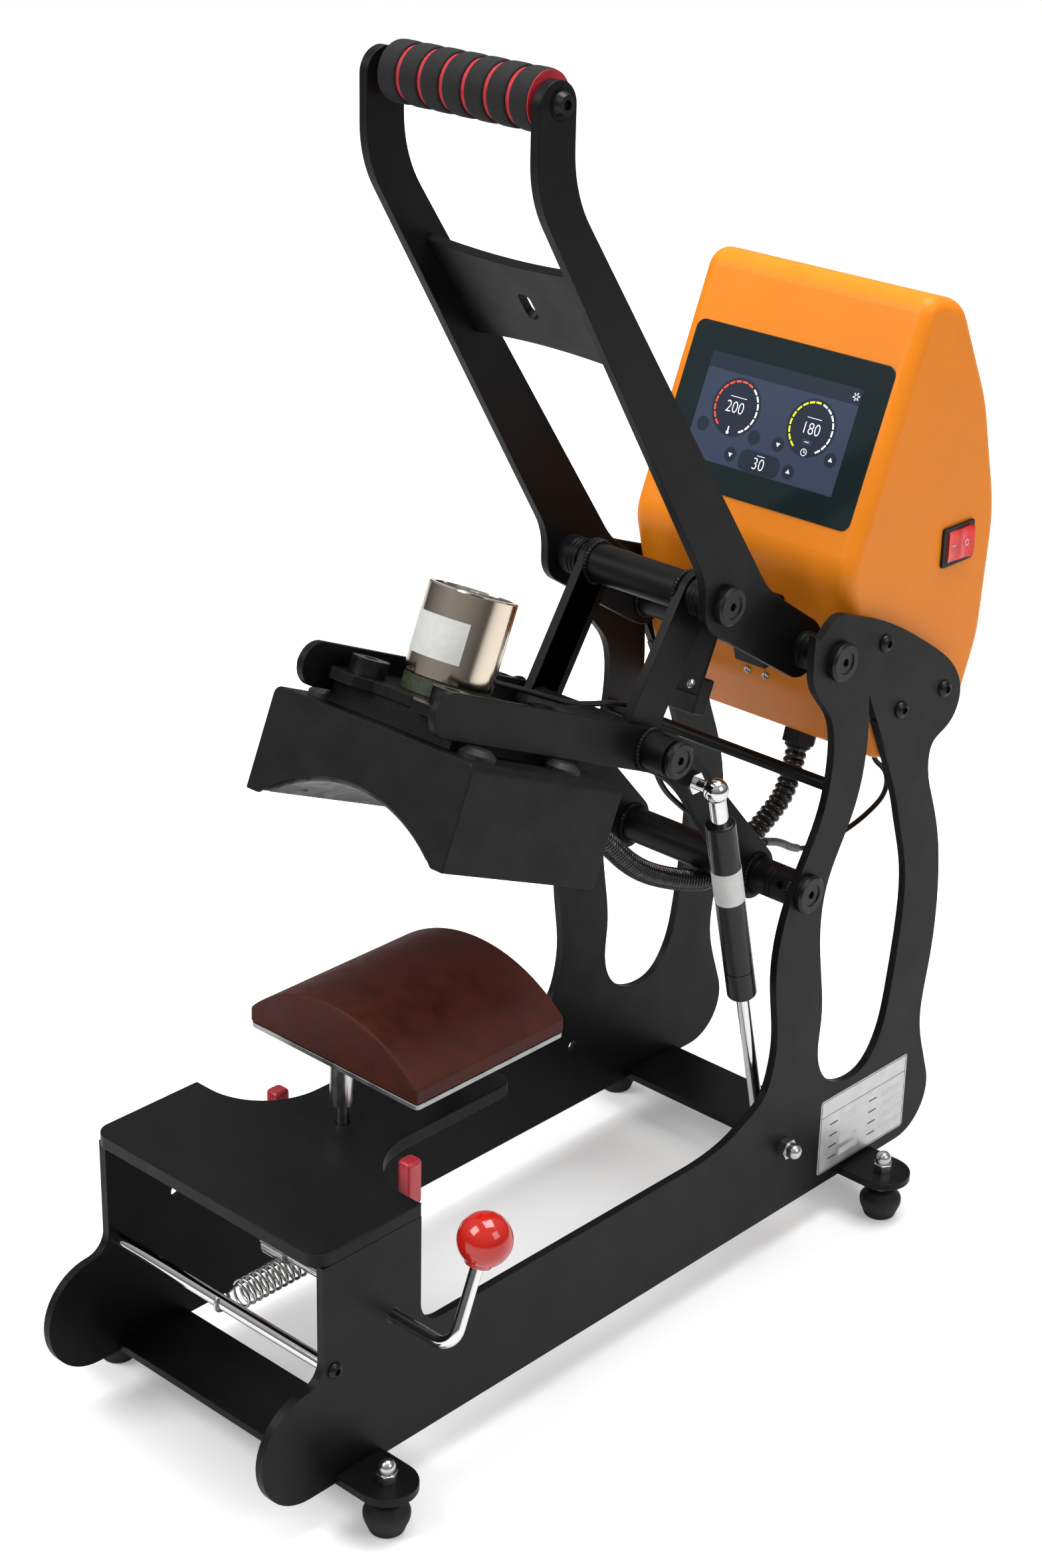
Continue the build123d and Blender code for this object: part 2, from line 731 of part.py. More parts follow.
with BuildPart() as bridge_screws:
    with BuildSketch(deck(bridge_top)):
        with Locations(*bridge_screw_places):
            Circle(10.5)
    extrude(amount=9.5)
    with BuildSketch(deck(bridge_top + 9.5)):
        with Locations(*bridge_screw_places):
            RegularPolygon(radius=4.6, side_count=6)
    extrude(amount=-5, mode=Mode.SUBTRACT)
    with BuildSketch(deck(bridge_top)):
        with Locations(*bridge_screw_places):
            Circle(4)
    extrude(amount=bridge_bottom - bridge_top)
save(bridge_screws, "bridge_screws")

with BuildPart() as magnet_insulator:
    with BuildSketch(deck(bridge_top)):
        with Locations((0, magnet_u)):
            Circle(magnet_radius - 1)
    extrude(amount=insulator_height)
save(magnet_insulator, "magnet_insulator")

with BuildPart() as magnet:
    with BuildSketch(deck(bridge_top + insulator_height)):
        with Locations((0, magnet_u)):
            Circle(magnet_radius)
    extrude(amount=magnet_height)
    chamfer(magnet.edges().filter_by(GeomType.CIRCLE), 0.8)
    # Pole gap round the core in the upper face
    with BuildSketch(deck(bridge_top + insulator_height + magnet_height)):
        with Locations((0, magnet_u)):
            Circle(magnet_radius - 5)
            Circle(magnet_radius - 8, mode=Mode.SUBTRACT)
    extrude(amount=-1, mode=Mode.SUBTRACT)
save(magnet, "magnet")

with BuildPart() as heat_block:
    with BuildSketch(deck(housing_top)):
        with Locations((0, (housing_front + 12 + housing_back - 7) / 2)):
            Rectangle(2 * rocker_inner - 2, housing_back - housing_front - 19)
    extrude(amount=bridge_bottom - housing_top)
save(heat_block, "heat_block")


def across_rocker(u):
    """A plane across the rocker at u, X across and Y up the rocker."""
    rise = radians(nose_up)
    place = on_rocker(u, 0)
    return Plane(origin=spot(0, *place), x_dir=(1, 0, 0), z_dir=(0, -cos(rise), sin(rise)))


# Heater housing: a thin box, open below, with an arch in its front and rear walls
with BuildPart() as heater_housing:
    length = housing_back - housing_front
    with BuildSketch(across_rocker(housing_front)):
        with BuildLine():
            FilletPolyline(
                (-housing_half, housing_bottom), (-housing_half, housing_top), (housing_half, housing_top),
                (housing_half, housing_bottom), radius=5,
            )
            Line((housing_half, housing_bottom), (-housing_half, housing_bottom))
        make_face()
    extrude(amount=-length)
    inner_half = housing_half - housing_wall
    inner_top = housing_top - housing_wall
    with BuildSketch(across_rocker(housing_front + housing_wall)):
        with BuildLine():
            FilletPolyline(
                (-inner_half, housing_bottom), (-inner_half, inner_top), (inner_half, inner_top),
                (inner_half, housing_bottom), radius=2.5,
            )
            Line((inner_half, housing_bottom), (-inner_half, housing_bottom))
        make_face()
    extrude(amount=2 * housing_wall - length, mode=Mode.SUBTRACT)
    with BuildSketch(across_rocker(housing_front)):
        with BuildLine():
            ThreePointArc((-arch_half, housing_bottom), (0, arch_crown), (arch_half, housing_bottom))
            Line((arch_half, housing_bottom), (-arch_half, housing_bottom))
        make_face()
    extrude(amount=-length, mode=Mode.SUBTRACT)
    with BuildSketch(deck(housing_top)):
        with Locations(*cap_places):
            Circle(screw_radius, mode=Mode.ADD)
    extrude(amount=-housing_wall, mode=Mode.SUBTRACT)
save(heater_housing, "heater_housing")

# Heat platen: a curved casting hung from the housing on four studs
with BuildPart() as heat_platen:
    face_centre = face_crown - face_radius
    foot_v = housing_bottom + 2.5
    outer_radius = face_radius + heat_thickness
    inner_foot = sqrt(face_radius**2 - (foot_v - face_centre) ** 2)
    outer_foot = inner_half - 0.5
    outer_z = face_centre + sqrt(outer_radius**2 - outer_foot**2)
    with BuildSketch(across_rocker(housing_front + housing_wall)):
        with BuildLine():
            ThreePointArc((-inner_foot, foot_v), (0, face_crown), (inner_foot, foot_v))
            Polyline((inner_foot, foot_v), (outer_foot, foot_v), (outer_foot, outer_z))
            ThreePointArc((outer_foot, outer_z), (0, face_centre + outer_radius), (-outer_foot, outer_z))
            Polyline((-outer_foot, outer_z), (-outer_foot, foot_v), (-inner_foot, foot_v))
        make_face()
    extrude(amount=2 * housing_wall - length)
    with BuildSketch(deck(housing_top)):
        with Locations(*cap_places):
            Circle(screw_radius)
    extrude(amount=outer_z - housing_top - 1)
    with BuildSketch(deck(housing_top - housing_wall)):
        with Locations(*cap_places):
            Circle(5)
    extrude(amount=outer_z - housing_top + housing_wall - 1)
save(heat_platen, "heat_platen")

with BuildPart() as housing_caps:
    with BuildSketch(deck(housing_top)):
        with Locations(*cap_places):
            Circle(10.3)
    extrude(amount=2.5)
    with BuildSketch(deck(housing_top + 2.5)):
        with Locations(*cap_places):
            Circle(10.3)
    extrude(amount=3.0, taper=50)
save(housing_caps, "housing_caps")

gas_ball_place = on_rocker(*gas_on_rocker)

with BuildPart() as ball_stud:
    rod(rocker_inner - 3, gas_x - 2, gas_ball_place, 3.5)
    hexagon(rocker_outer, rocker_outer + 6, gas_ball_place, 6.8)
    hexagon(rocker_inner, rocker_inner - 3, gas_ball_place, 6.2)
    with Locations(spot(gas_x, *gas_ball_place)):
        Sphere(gas_ball_radius)
save(ball_stud, "ball_stud")


def cable(points, diameter):
    """A cable of straight runs and tangent arcs, each arc as large as its two runs allow."""
    runs = [Vector(b) - Vector(a) for a, b in zip(points, points[1:])]
    radii = []
    for first, second in zip(runs, runs[1:]):
        half_turn = radians(first.get_angle(second)) / 2
        radii.append(0.45 * min(first.length, second.length) / tan(half_turn))
    print("cable radii", [round(radius, 1) for radius in radii])
    with BuildLine() as path:
        FilletPolyline(*points, radius=radii)
    with BuildSketch(Plane(origin=points[0], z_dir=runs[0])) as section:
        Circle(diameter / 2)
    sweep(section.sketch, path=path.line)


# Corrugated conduit to the heater: its rocker end, from the gland on the housing to under the rocker tube
heater_conduit_diameter = 14.0
box_conduit_diameter = 11.5
heater_gland_v = 6.0
heater_gland_x = 10.0
heater_gland_length = 18.0
heater_exit = on_rocker(housing_back + heater_gland_length, heater_gland_v)
heater_route = (
    (heater_gland_x, *heater_exit), (10.0, -138.0, 280.4), (10.0, -115.0, 268.5), (9.5, -94.0, 251.5),
    (8.5, -76.0, 233.5), (8.0, -56.0, 219.0), (8.0, -32.0, 207.0), (8.0, -8.0, 197.5), (8.0, 4.0, 195.5),
)

with BuildPart() as heater_conduit:
    cable([spot(*point) for point in heater_route], heater_conduit_diameter)
    with BuildSketch(across_rocker(housing_back)):
        with Locations((heater_gland_x, heater_gland_v)):
            RegularPolygon(radius=10, side_count=6)
    extrude(amount=-heater_gland_length * 0.4)
    with BuildSketch(across_rocker(housing_back + heater_gland_length * 0.4)):
        with Locations((heater_gland_x, heater_gland_v)):
            Circle(8.4)
    extrude(amount=-heater_gland_length * 0.6)
save(heater_conduit, "heater_conduit")

# Magnet lead, from the magnet over the link tube and down the inside of the right rocker plate
lead_diameter = 3.4
lead_route = (
    (9.0, -239.6, 78.0), (14.4, -225.6, 78.0), (20.0, -208.0, 77.5), (25.0, -188.0, 76.0), (27.0, -168.0, 79.0),
    (28.0, -150.0, 82.5), (28.5, -132.0, 80.5), (29.5, -117.0, 68.0), (32.0, -106.0, 52.0), (37.0, -95.0, 38.5),
    (42.0, -79.0, 31.0), (43.0, -60.0, 25.0), (43.2, -40.0, 20.0), (43.4, -21.0, 17.8), (43.5, -5.0, 17.2),
)

with BuildPart() as magnet_lead:
    cable([spot(x, *on_rocker(u, v)) for x, u, v in lead_route], lead_diameter)
save(magnet_lead, "magnet_lead")

# ---------------------------------------------------------------- gas spring

gas_line = heading(gas_foot, gas_ball_place)
gas_length = hypot(gas_ball_place[0] - gas_foot[0], gas_ball_place[1] - gas_foot[1])
gas_plane = Plane(
    origin=spot(gas_x, *gas_foot), x_dir=(1, 0, 0), z_dir=(0, cos(radians(gas_line)), sin(radians(gas_line))),
)
cylinder_top = gas_length - gas_neck
cylinder_low = cylinder_top - gas_cylinder_length

with BuildPart() as gas_rod:
    collar(gas_x - 7, gas_x + 7, gas_foot, 8, gas_rod_radius + running)
    with BuildSketch(gas_plane.offset(7.4)):
        Circle(5.5)
    extrude(amount=12)
    with BuildSketch(gas_plane.offset(19.4)):
        Circle(gas_rod_radius)
    extrude(amount=cylinder_low + 5)
save(gas_rod, "gas_rod")

with BuildPart() as gas_cylinder:
    with BuildSketch(gas_plane.offset(cylinder_low)):
        Circle(gas_cylinder_radius)
    extrude(amount=gas_cylinder_length)
    fillet(gas_cylinder.edges().filter_by(GeomType.CIRCLE), 1.5)
    with BuildSketch(gas_plane.offset(cylinder_low)):
        Circle(gas_rod_radius + running)
    extrude(amount=10, mode=Mode.SUBTRACT)
    with BuildSketch(gas_plane.offset(cylinder_low + gas_cap_length)):
        Circle(gas_cylinder_radius)
        Circle(gas_cylinder_radius - 0.4, mode=Mode.SUBTRACT)
    extrude(amount=0.6, mode=Mode.SUBTRACT)
    with BuildSketch(gas_plane.offset(cylinder_low + 6)):
        Circle(gas_cylinder_radius - 1.5)
    extrude(amount=gas_cylinder_length - 12, mode=Mode.SUBTRACT)
save(gas_cylinder, "gas_cylinder")

with BuildPart() as gas_socket:
    with Locations(spot(gas_x, *gas_ball_place)):
        Sphere(gas_socket_radius)
    with BuildSketch(gas_plane.offset(cylinder_top)):
        Circle(5.2)
    extrude(amount=gas_neck - 3)
    cavity = gas_ball_radius + gas_play
    with Locations(spot(gas_x, *gas_ball_place)):
        Sphere(cavity, mode=Mode.SUBTRACT)
    rod(gas_x - gas_socket_radius, gas_x, gas_ball_place, cavity, mode=Mode.SUBTRACT)
save(gas_socket, "gas_socket")

# ---------------------------------------------------------------- control box


def box_profile(inset):
    """The side outline of the control box, drawn in by an inset."""
    with BuildSketch() as outline:
        with BuildLine():
            FilletPolyline(*[corner for corner, _ in box_outline], radius=[r for _, r in box_outline], close=True)
        make_face()
        if inset:
            offset(amount=-inset)
    return outline.sketch_local


with BuildPart() as box_body:
    with BuildSketch(side(-box_half)):
        add(box_profile(0))
    extrude(amount=2 * box_half)
    rims = box_body.edges().filter_by(lambda e: abs(abs(e.center().X) - box_half) < 0.01)
    fillet(rims, box_edge)
    with BuildSketch(side(box_wall - box_half)):
        add(box_profile(box_wall))
    extrude(amount=2 * (box_half - box_wall), mode=Mode.SUBTRACT)
    for x in (box_half - box_wall, box_wall - box_half):
        reach = (plate_inner - box_half + box_wall) * (1 if x > 0 else -1)
        for place in box_screws:
            rod(x, x + reach, place, 8.5)
            rod(x, x + reach, place, screw_radius, mode=Mode.SUBTRACT)

screen_tilt = heading(screen_low, screen_high)
screen_centre = ((screen_low[0] + screen_high[0]) / 2, (screen_low[1] + screen_high[1]) / 2)
screen_height = hypot(screen_high[0] - screen_low[0], screen_high[1] - screen_low[1])
tilt = radians(screen_tilt)
screen_plane = Plane(
    origin=spot(0, *screen_centre), x_dir=(1, 0, 0), z_dir=(0, -sin(tilt), cos(tilt)),
)

with BuildPart() as touch_screen:
    with BuildSketch(screen_plane.offset(screen_proud)):
        RectangleRounded(screen_width, screen_height, 6)
    extrude(amount=-screen_thickness)
save(touch_screen, "touch_screen")


def ahead_of_parting():
    """The block of space ahead of and below the line where the two shells of the box meet."""
    with BuildSketch(side(-plate_outer)) as region:
        with BuildLine():
            Polyline(*parting, (200.0, 200.0), (0.0, 200.0), (0.0, 600.0), close=True)
        make_face()
    return region.sketch


with BuildPart() as box_front_shell:
    add(box_body.part)
    extrude(ahead_of_parting(), amount=2 * plate_outer, mode=Mode.INTERSECT)
    add(touch_screen.part, mode=Mode.SUBTRACT)
save(box_front_shell, "box_front_shell")

switch_bezel = 2.0
switch_body = 15.0
switch_rim = 2.0

with BuildPart() as box_rear_shell:
    add(box_body.part)
    extrude(ahead_of_parting(), amount=2 * plate_outer, mode=Mode.SUBTRACT)
    with BuildSketch(side(box_half)):
        with Locations(switch_place):
            Rectangle(switch_length - 2 * switch_rim, switch_height - 2 * switch_rim)
    extrude(amount=-switch_body, mode=Mode.SUBTRACT)
save(box_rear_shell, "box_rear_shell")

# Power switch: a bezel and body with a well, and a rocker on two small pins
rocker_half = 9.5
rocker_high = 14.0
rocker_pivot_x = box_half - 4
rocker_pin_radius = 1.5
well_half = 11.3

with BuildPart() as switch_housing:
    with BuildSketch(side(box_half)):
        with Locations(switch_place):
            RectangleRounded(switch_length, switch_height, 2)
    extrude(amount=switch_bezel)
    with BuildSketch(side(box_half)):
        with Locations(switch_place):
            Rectangle(switch_length - 2 * switch_rim, switch_height - 2 * switch_rim)
    extrude(amount=-switch_body)
    with BuildSketch(side(box_half + switch_bezel)):
        with Locations(switch_place):
            Rectangle(2 * well_half, rocker_high + 0.6)
    extrude(amount=-12, mode=Mode.SUBTRACT)
    with BuildSketch(floor(switch_place[1] - rocker_high / 2 - 2)):
        with Locations((rocker_pivot_x, switch_place[0])):
            Circle(rocker_pin_radius + running)
    extrude(amount=rocker_high + 4, mode=Mode.SUBTRACT)
save(switch_housing, "switch_housing")

with BuildPart() as power_rocker:
    lean = radians(switch_tilt)
    base_z = switch_place[1] - rocker_high / 2
    rocker_plane = Plane(
        origin=spot(rocker_pivot_x, switch_place[0], base_z), x_dir=(cos(lean), sin(lean), 0), z_dir=(0, 0, 1),
    )
    with BuildSketch(rocker_plane):
        with BuildLine():
            Polyline((-3, -rocker_half), (5.5, -rocker_half), (4, 0), (5.5, rocker_half), (-3, rocker_half), close=True)
        make_face()
    extrude(amount=rocker_high)
    with BuildSketch(rocker_plane.offset(-1.8)):
        Circle(rocker_pin_radius)
    extrude(amount=rocker_high + 3.6)
save(power_rocker, "power_rocker")

# Bracket and limit switch that the link tube comes down to
bracket_x = 20.5
bracket_width = 25.0
bracket_sheet = 3.0
bracket_bend = (-28.0, 385.0)
bracket_end = (-48.0, 340.0)
front_low = box_outline[8][0]
front_high = box_outline[9][0]


def on_box_front(z, out):
    """A point of the side drawing on the lower front of the box, or out from it."""
    share = (z - front_low[1]) / (front_high[1] - front_low[1])
    line = heading(front_low, front_high)
    y = front_low[0] + share * (front_high[0] - front_low[0])
    return turned((y, z), out, line + 90)


with BuildPart() as sensor_bracket:
    with BuildSketch(side(bracket_x - bracket_width / 2)):
        with BuildLine():
            strap_low = bracket_bend[1] - bracket_sheet
            drop = heading(bracket_bend, bracket_end)
            Polyline(
                on_box_front(392, 0), on_box_front(392, bracket_sheet), on_box_front(bracket_bend[1], bracket_sheet),
                bracket_bend, bracket_end, turned(bracket_end, bracket_sheet, drop + 90),
                (bracket_bend[0] + bracket_sheet * 0.66, strap_low), on_box_front(strap_low, bracket_sheet),
                on_box_front(374, bracket_sheet), on_box_front(374, 0), close=True,
            )
        make_face()
    extrude(amount=bracket_width)
    face = Plane(
        origin=spot(bracket_x, *bracket_end), x_dir=(1, 0, 0), z_dir=(0, cos(radians(drop + 90)), sin(radians(drop + 90))),
    )
    with BuildSketch(face):
        with Locations((7, 24)):
            SlotOverall(18, 5, rotation=90)
    extrude(amount=bracket_sheet, mode=Mode.SUBTRACT)
save(sensor_bracket, "sensor_bracket")

with BuildPart() as limit_switch:
    with BuildSketch(side(bracket_x - 11.5, bracket_end, drop)):
        with Locations((1, bracket_sheet + 6.1)):
            Rectangle(22, 12)
    extrude(amount=23)
save(limit_switch, "limit_switch")

# Glands under the box, square to its bottom, with the conduit and the sensor lead that hang from them
bottom_front = box_outline[7][0]
bottom_back = box_outline[6][0]
bottom_line = heading(bottom_front, bottom_back)
bottom_down = bottom_line - 90
conduit_gland = (14.0, 14.5)
lead_gland = (50.0, 45.5)
conduit_gland_length = 12.0
lead_gland_length = 6.0


def under_box(gland, out):
    """The point of a gland's axis at a distance below the box's bottom."""
    x, along = gland
    foot = turned(bottom_front, along, bottom_line)
    return (x, *turned(foot, out, bottom_down))


with BuildPart() as cable_glands:
    for gland, radius, length in (
        (conduit_gland, 11.5, conduit_gland_length), (lead_gland, 4.6, lead_gland_length),
    ):
        base = Plane(
            origin=spot(*under_box(gland, 0)), x_dir=(1, 0, 0),
            z_dir=(0, cos(radians(bottom_down)), sin(radians(bottom_down))),
        )
        with BuildSketch(base):
            RegularPolygon(radius=radius, side_count=6)
        extrude(amount=length * 0.75)
        with BuildSketch(base.offset(length * 0.75)):
            Circle(radius * 0.72)
        extrude(amount=length * 0.25)
save(cable_glands, "cable_glands")

box_route = (
    under_box(conduit_gland, conduit_gland_length), under_box(conduit_gland, 28.0), (13.5, 66.5, 233.5),
    (12.0, 57.0, 224.0), (10.5, 44.0, 215.0), (9.0, 26.0, 204.5),
)

with BuildPart() as box_conduit:
    cable([spot(*point) for point in box_route], box_conduit_diameter)
save(box_conduit, "box_conduit")

signal_route = (
    (42.4, 12.0, 229.0), (42.4, 27.0, 224.0), (42.6, 43.0, 213.5), (45.0, 64.0, 209.5), (48.5, 84.0, 214.0),
    (51.5, 102.0, 220.5), (54.3, 118.0, 231.0), (54.0, 118.0, 246.5), under_box(lead_gland, 9.5),
    under_box(lead_gland, lead_gland_length),
)

with BuildPart() as signal_lead:
    cable([spot(*point) for point in signal_route], lead_diameter)
save(signal_lead, "signal_lead")

# ---------------------------------------------------------------- cap clamp

lever_inner = -12.0
rod_end = turned(lever_axis, lever_length - 9, 90 - lever_lean)
knob = turned(lever_axis, lever_length, 90 - lever_lean)

with BuildPart() as lever_rod:
    with BuildLine() as path:
        FilletPolyline(
            spot(lever_inner, *lever_axis), spot(lever_x, *lever_axis), spot(lever_x, *rod_end), radius=12,
        )
    with BuildSketch(side(lever_inner, lever_axis)):
        Circle(lever_radius)
    sweep(path=path.line)
save(lever_rod, "lever_rod")

with BuildPart() as lever_knob:
    with Locations(spot(lever_x, *knob)):
        Sphere(knob_radius)
    outward = Plane(
        origin=spot(lever_x, *knob), x_dir=(1, 0, 0),
        z_dir=(0, -sin(radians(lever_lean)), -cos(radians(lever_lean))),
    )
    with BuildSketch(outward.offset(knob_radius - 2)):
        Circle(6)
    extrude(amount=3)
    with BuildSketch(outward.offset(9)):
        Circle(lever_radius)
    extrude(amount=10, mode=Mode.SUBTRACT)
save(lever_knob, "lever_knob")

yoke_z = 100.0
yoke_sheet = 4.0
hub_radius = 6.0
lug_place = (-317.0, 71.0)
lug_width = 12.0
grip_low = 118.0

with BuildPart() as clamp_yoke:
    rod(-9, 9, lever_axis, hub_radius)
    arm_line = heading(lever_axis, (finger_y, yoke_z))
    with BuildSketch(side(-8, lever_axis, arm_line)):
        with Locations((26, 0)):
            Rectangle(48, yoke_sheet)
    extrude(amount=16)
    with BuildSketch(floor(yoke_z - 8)):
        with Locations((0, finger_y)):
            Rectangle(2 * finger_x + 6, yoke_sheet)
    extrude(amount=14)
    for hand in (1, -1):
        with BuildSketch(floor(yoke_z - 8)):
            with Locations((hand * finger_x, finger_y)):
                Rectangle(6, yoke_sheet)
        extrude(amount=finger_top - 3 - yoke_z + 8)
    with BuildSketch(side(-1.5, lug_place)):
        with Locations((0, 10)):
            Rectangle(lug_width, 28)
    extrude(amount=3)
    rod(-9, 9, lever_axis, lever_radius, mode=Mode.SUBTRACT)
    rod(-2, 2, lug_place, 1.5, mode=Mode.SUBTRACT)
save(clamp_yoke, "clamp_yoke")

with BuildPart() as clamp_grips:
    for hand in (1, -1):
        with BuildSketch(floor(grip_low)):
            with Locations((hand * finger_x, finger_y)):
                RectangleRounded(10, 11, 3)
        extrude(amount=finger_top - grip_low)
        with BuildSketch(floor(grip_low)):
            with Locations((hand * finger_x, finger_y)):
                Rectangle(6, yoke_sheet)
        extrude(amount=finger_top - 3 - grip_low, mode=Mode.SUBTRACT)
save(clamp_grips, "clamp_grips")

spring_radius = 8.5
spring_wire = 1.0
spring_z = 70.5
coil_front = -379.0
coil_back = -329.0

# Extension spring from the spring rod back to the yoke's lug: the coil's outer shape with a hook at each end
with BuildPart() as clamp_spring:
    coil = Plane(origin=spot(0, coil_front, spring_z), x_dir=(1, 0, 0), z_dir=(0, 1, 0))
    with BuildSketch(coil):
        Circle(spring_radius)
    extrude(amount=coil_back - coil_front)
    hook_front = spring_rod_place[0] + rod_radius + 0.2 - coil_front
    hook_back = lug_place[0] - lug_width / 2 - 0.2 - coil_front
    for start, end in ((0, hook_front), (coil_back - coil_front, hook_back)):
        with BuildSketch(coil.offset(start)):
            Circle(spring_wire)
        extrude(amount=end - start)
    with BuildSketch(coil):
        Circle(spring_radius - spring_wire)
    extrude(amount=coil_back - coil_front, mode=Mode.SUBTRACT)
    for start, inward in ((0, spring_wire), (coil_back - coil_front, -spring_wire)):
        with BuildSketch(coil.offset(start)):
            Circle(spring_radius - 0.2)
        extrude(amount=inward)
save(clamp_spring, "clamp_spring")
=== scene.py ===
"""Cap heat press, open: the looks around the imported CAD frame. Metres, row frame, X across the press,
Y to the rear and Z up from the bench."""

import json
from math import cos, pi, radians, sin, tau

import bmesh
import bpy
import numpy as np
from mathutils import Matrix, Vector

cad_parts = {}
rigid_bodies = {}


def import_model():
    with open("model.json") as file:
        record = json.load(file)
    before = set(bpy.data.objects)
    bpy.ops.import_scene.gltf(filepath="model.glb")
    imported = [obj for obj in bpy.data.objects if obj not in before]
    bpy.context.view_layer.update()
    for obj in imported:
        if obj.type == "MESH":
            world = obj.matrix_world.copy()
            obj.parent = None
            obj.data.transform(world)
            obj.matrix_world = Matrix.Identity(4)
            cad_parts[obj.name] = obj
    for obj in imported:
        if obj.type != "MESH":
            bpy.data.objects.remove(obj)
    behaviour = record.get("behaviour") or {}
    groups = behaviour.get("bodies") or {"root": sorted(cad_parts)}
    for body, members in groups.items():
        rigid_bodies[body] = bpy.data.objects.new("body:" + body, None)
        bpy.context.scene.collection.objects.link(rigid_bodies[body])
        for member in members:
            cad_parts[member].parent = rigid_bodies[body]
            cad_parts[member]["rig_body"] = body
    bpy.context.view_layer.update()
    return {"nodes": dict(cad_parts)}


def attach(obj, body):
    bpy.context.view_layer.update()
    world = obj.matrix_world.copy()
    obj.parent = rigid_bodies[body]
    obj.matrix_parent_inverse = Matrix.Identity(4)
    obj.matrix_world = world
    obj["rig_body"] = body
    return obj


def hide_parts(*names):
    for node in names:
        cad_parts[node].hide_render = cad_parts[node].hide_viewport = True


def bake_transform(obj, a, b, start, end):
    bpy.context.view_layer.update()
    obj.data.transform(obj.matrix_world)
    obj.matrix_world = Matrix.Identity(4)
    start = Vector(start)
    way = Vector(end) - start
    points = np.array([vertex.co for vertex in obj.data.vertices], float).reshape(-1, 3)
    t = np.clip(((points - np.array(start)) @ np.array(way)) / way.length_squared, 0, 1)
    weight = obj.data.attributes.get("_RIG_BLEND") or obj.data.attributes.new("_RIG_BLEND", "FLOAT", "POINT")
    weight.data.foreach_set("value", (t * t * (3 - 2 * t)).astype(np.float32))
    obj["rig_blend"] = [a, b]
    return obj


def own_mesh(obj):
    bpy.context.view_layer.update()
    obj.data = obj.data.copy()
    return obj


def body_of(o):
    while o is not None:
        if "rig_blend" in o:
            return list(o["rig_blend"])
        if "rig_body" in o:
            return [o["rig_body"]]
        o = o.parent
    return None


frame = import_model()
mm = 0.001

# Camera: a long lens ahead of the press on its right, a little above the screen. It turns to the press, dips
# towards it and leans by a degree.
camera_place = (1.0181, -1.1081, 1.0165)
camera_turn, camera_dip, camera_lean = 42.70, 24.41, 1.27
view = bpy.data.cameras.new("view")
view.sensor_fit = "HORIZONTAL"
view.sensor_width = 36.0
view.lens = 101.13
view.clip_end = 30.0
camera = bpy.data.objects.new("camera", view)
camera.matrix_world = (
    Matrix.Translation(camera_place)
    @ Matrix.Rotation(radians(camera_turn), 4, "Z")
    @ Matrix.Rotation(radians(90 - camera_dip), 4, "X")
    @ Matrix.Rotation(radians(camera_lean), 4, "Z")
)
bpy.context.scene.collection.objects.link(camera)
bpy.context.scene.camera = camera
bpy.context.scene.view_settings.view_transform = "Standard"


# Stage: a white sweep under three soft boxes. The floor is a plain disc that glows towards its rim for the
# camera alone, so that it runs into the white behind it and keeps the shadow around the press.
class Wire:
    """A value inside a material. Arithmetic on it adds the nodes that work it out."""

    def __init__(self, paint, socket):
        self.paint, self.socket = paint, socket

    def step(self, operation, *values):
        return self.paint.node("ShaderNodeMath", {"operation": operation}, dict(enumerate(values)))

    def __add__(self, other):
        return self.step("ADD", self, other)

    def __radd__(self, other):
        return self.step("ADD", other, self)

    def __sub__(self, other):
        return self.step("SUBTRACT", self, other)

    def __rsub__(self, other):
        return self.step("SUBTRACT", other, self)

    def __mul__(self, other):
        return self.step("MULTIPLY", self, other)

    def __rmul__(self, other):
        return self.step("MULTIPLY", other, self)

    def between(self, low, high):
        """0 below low, 1 above high and smooth in between."""
        settings = {"interpolation_type": "SMOOTHSTEP"}
        return self.paint.node("ShaderNodeMapRange", settings, {0: self, 1: low, 2: high})


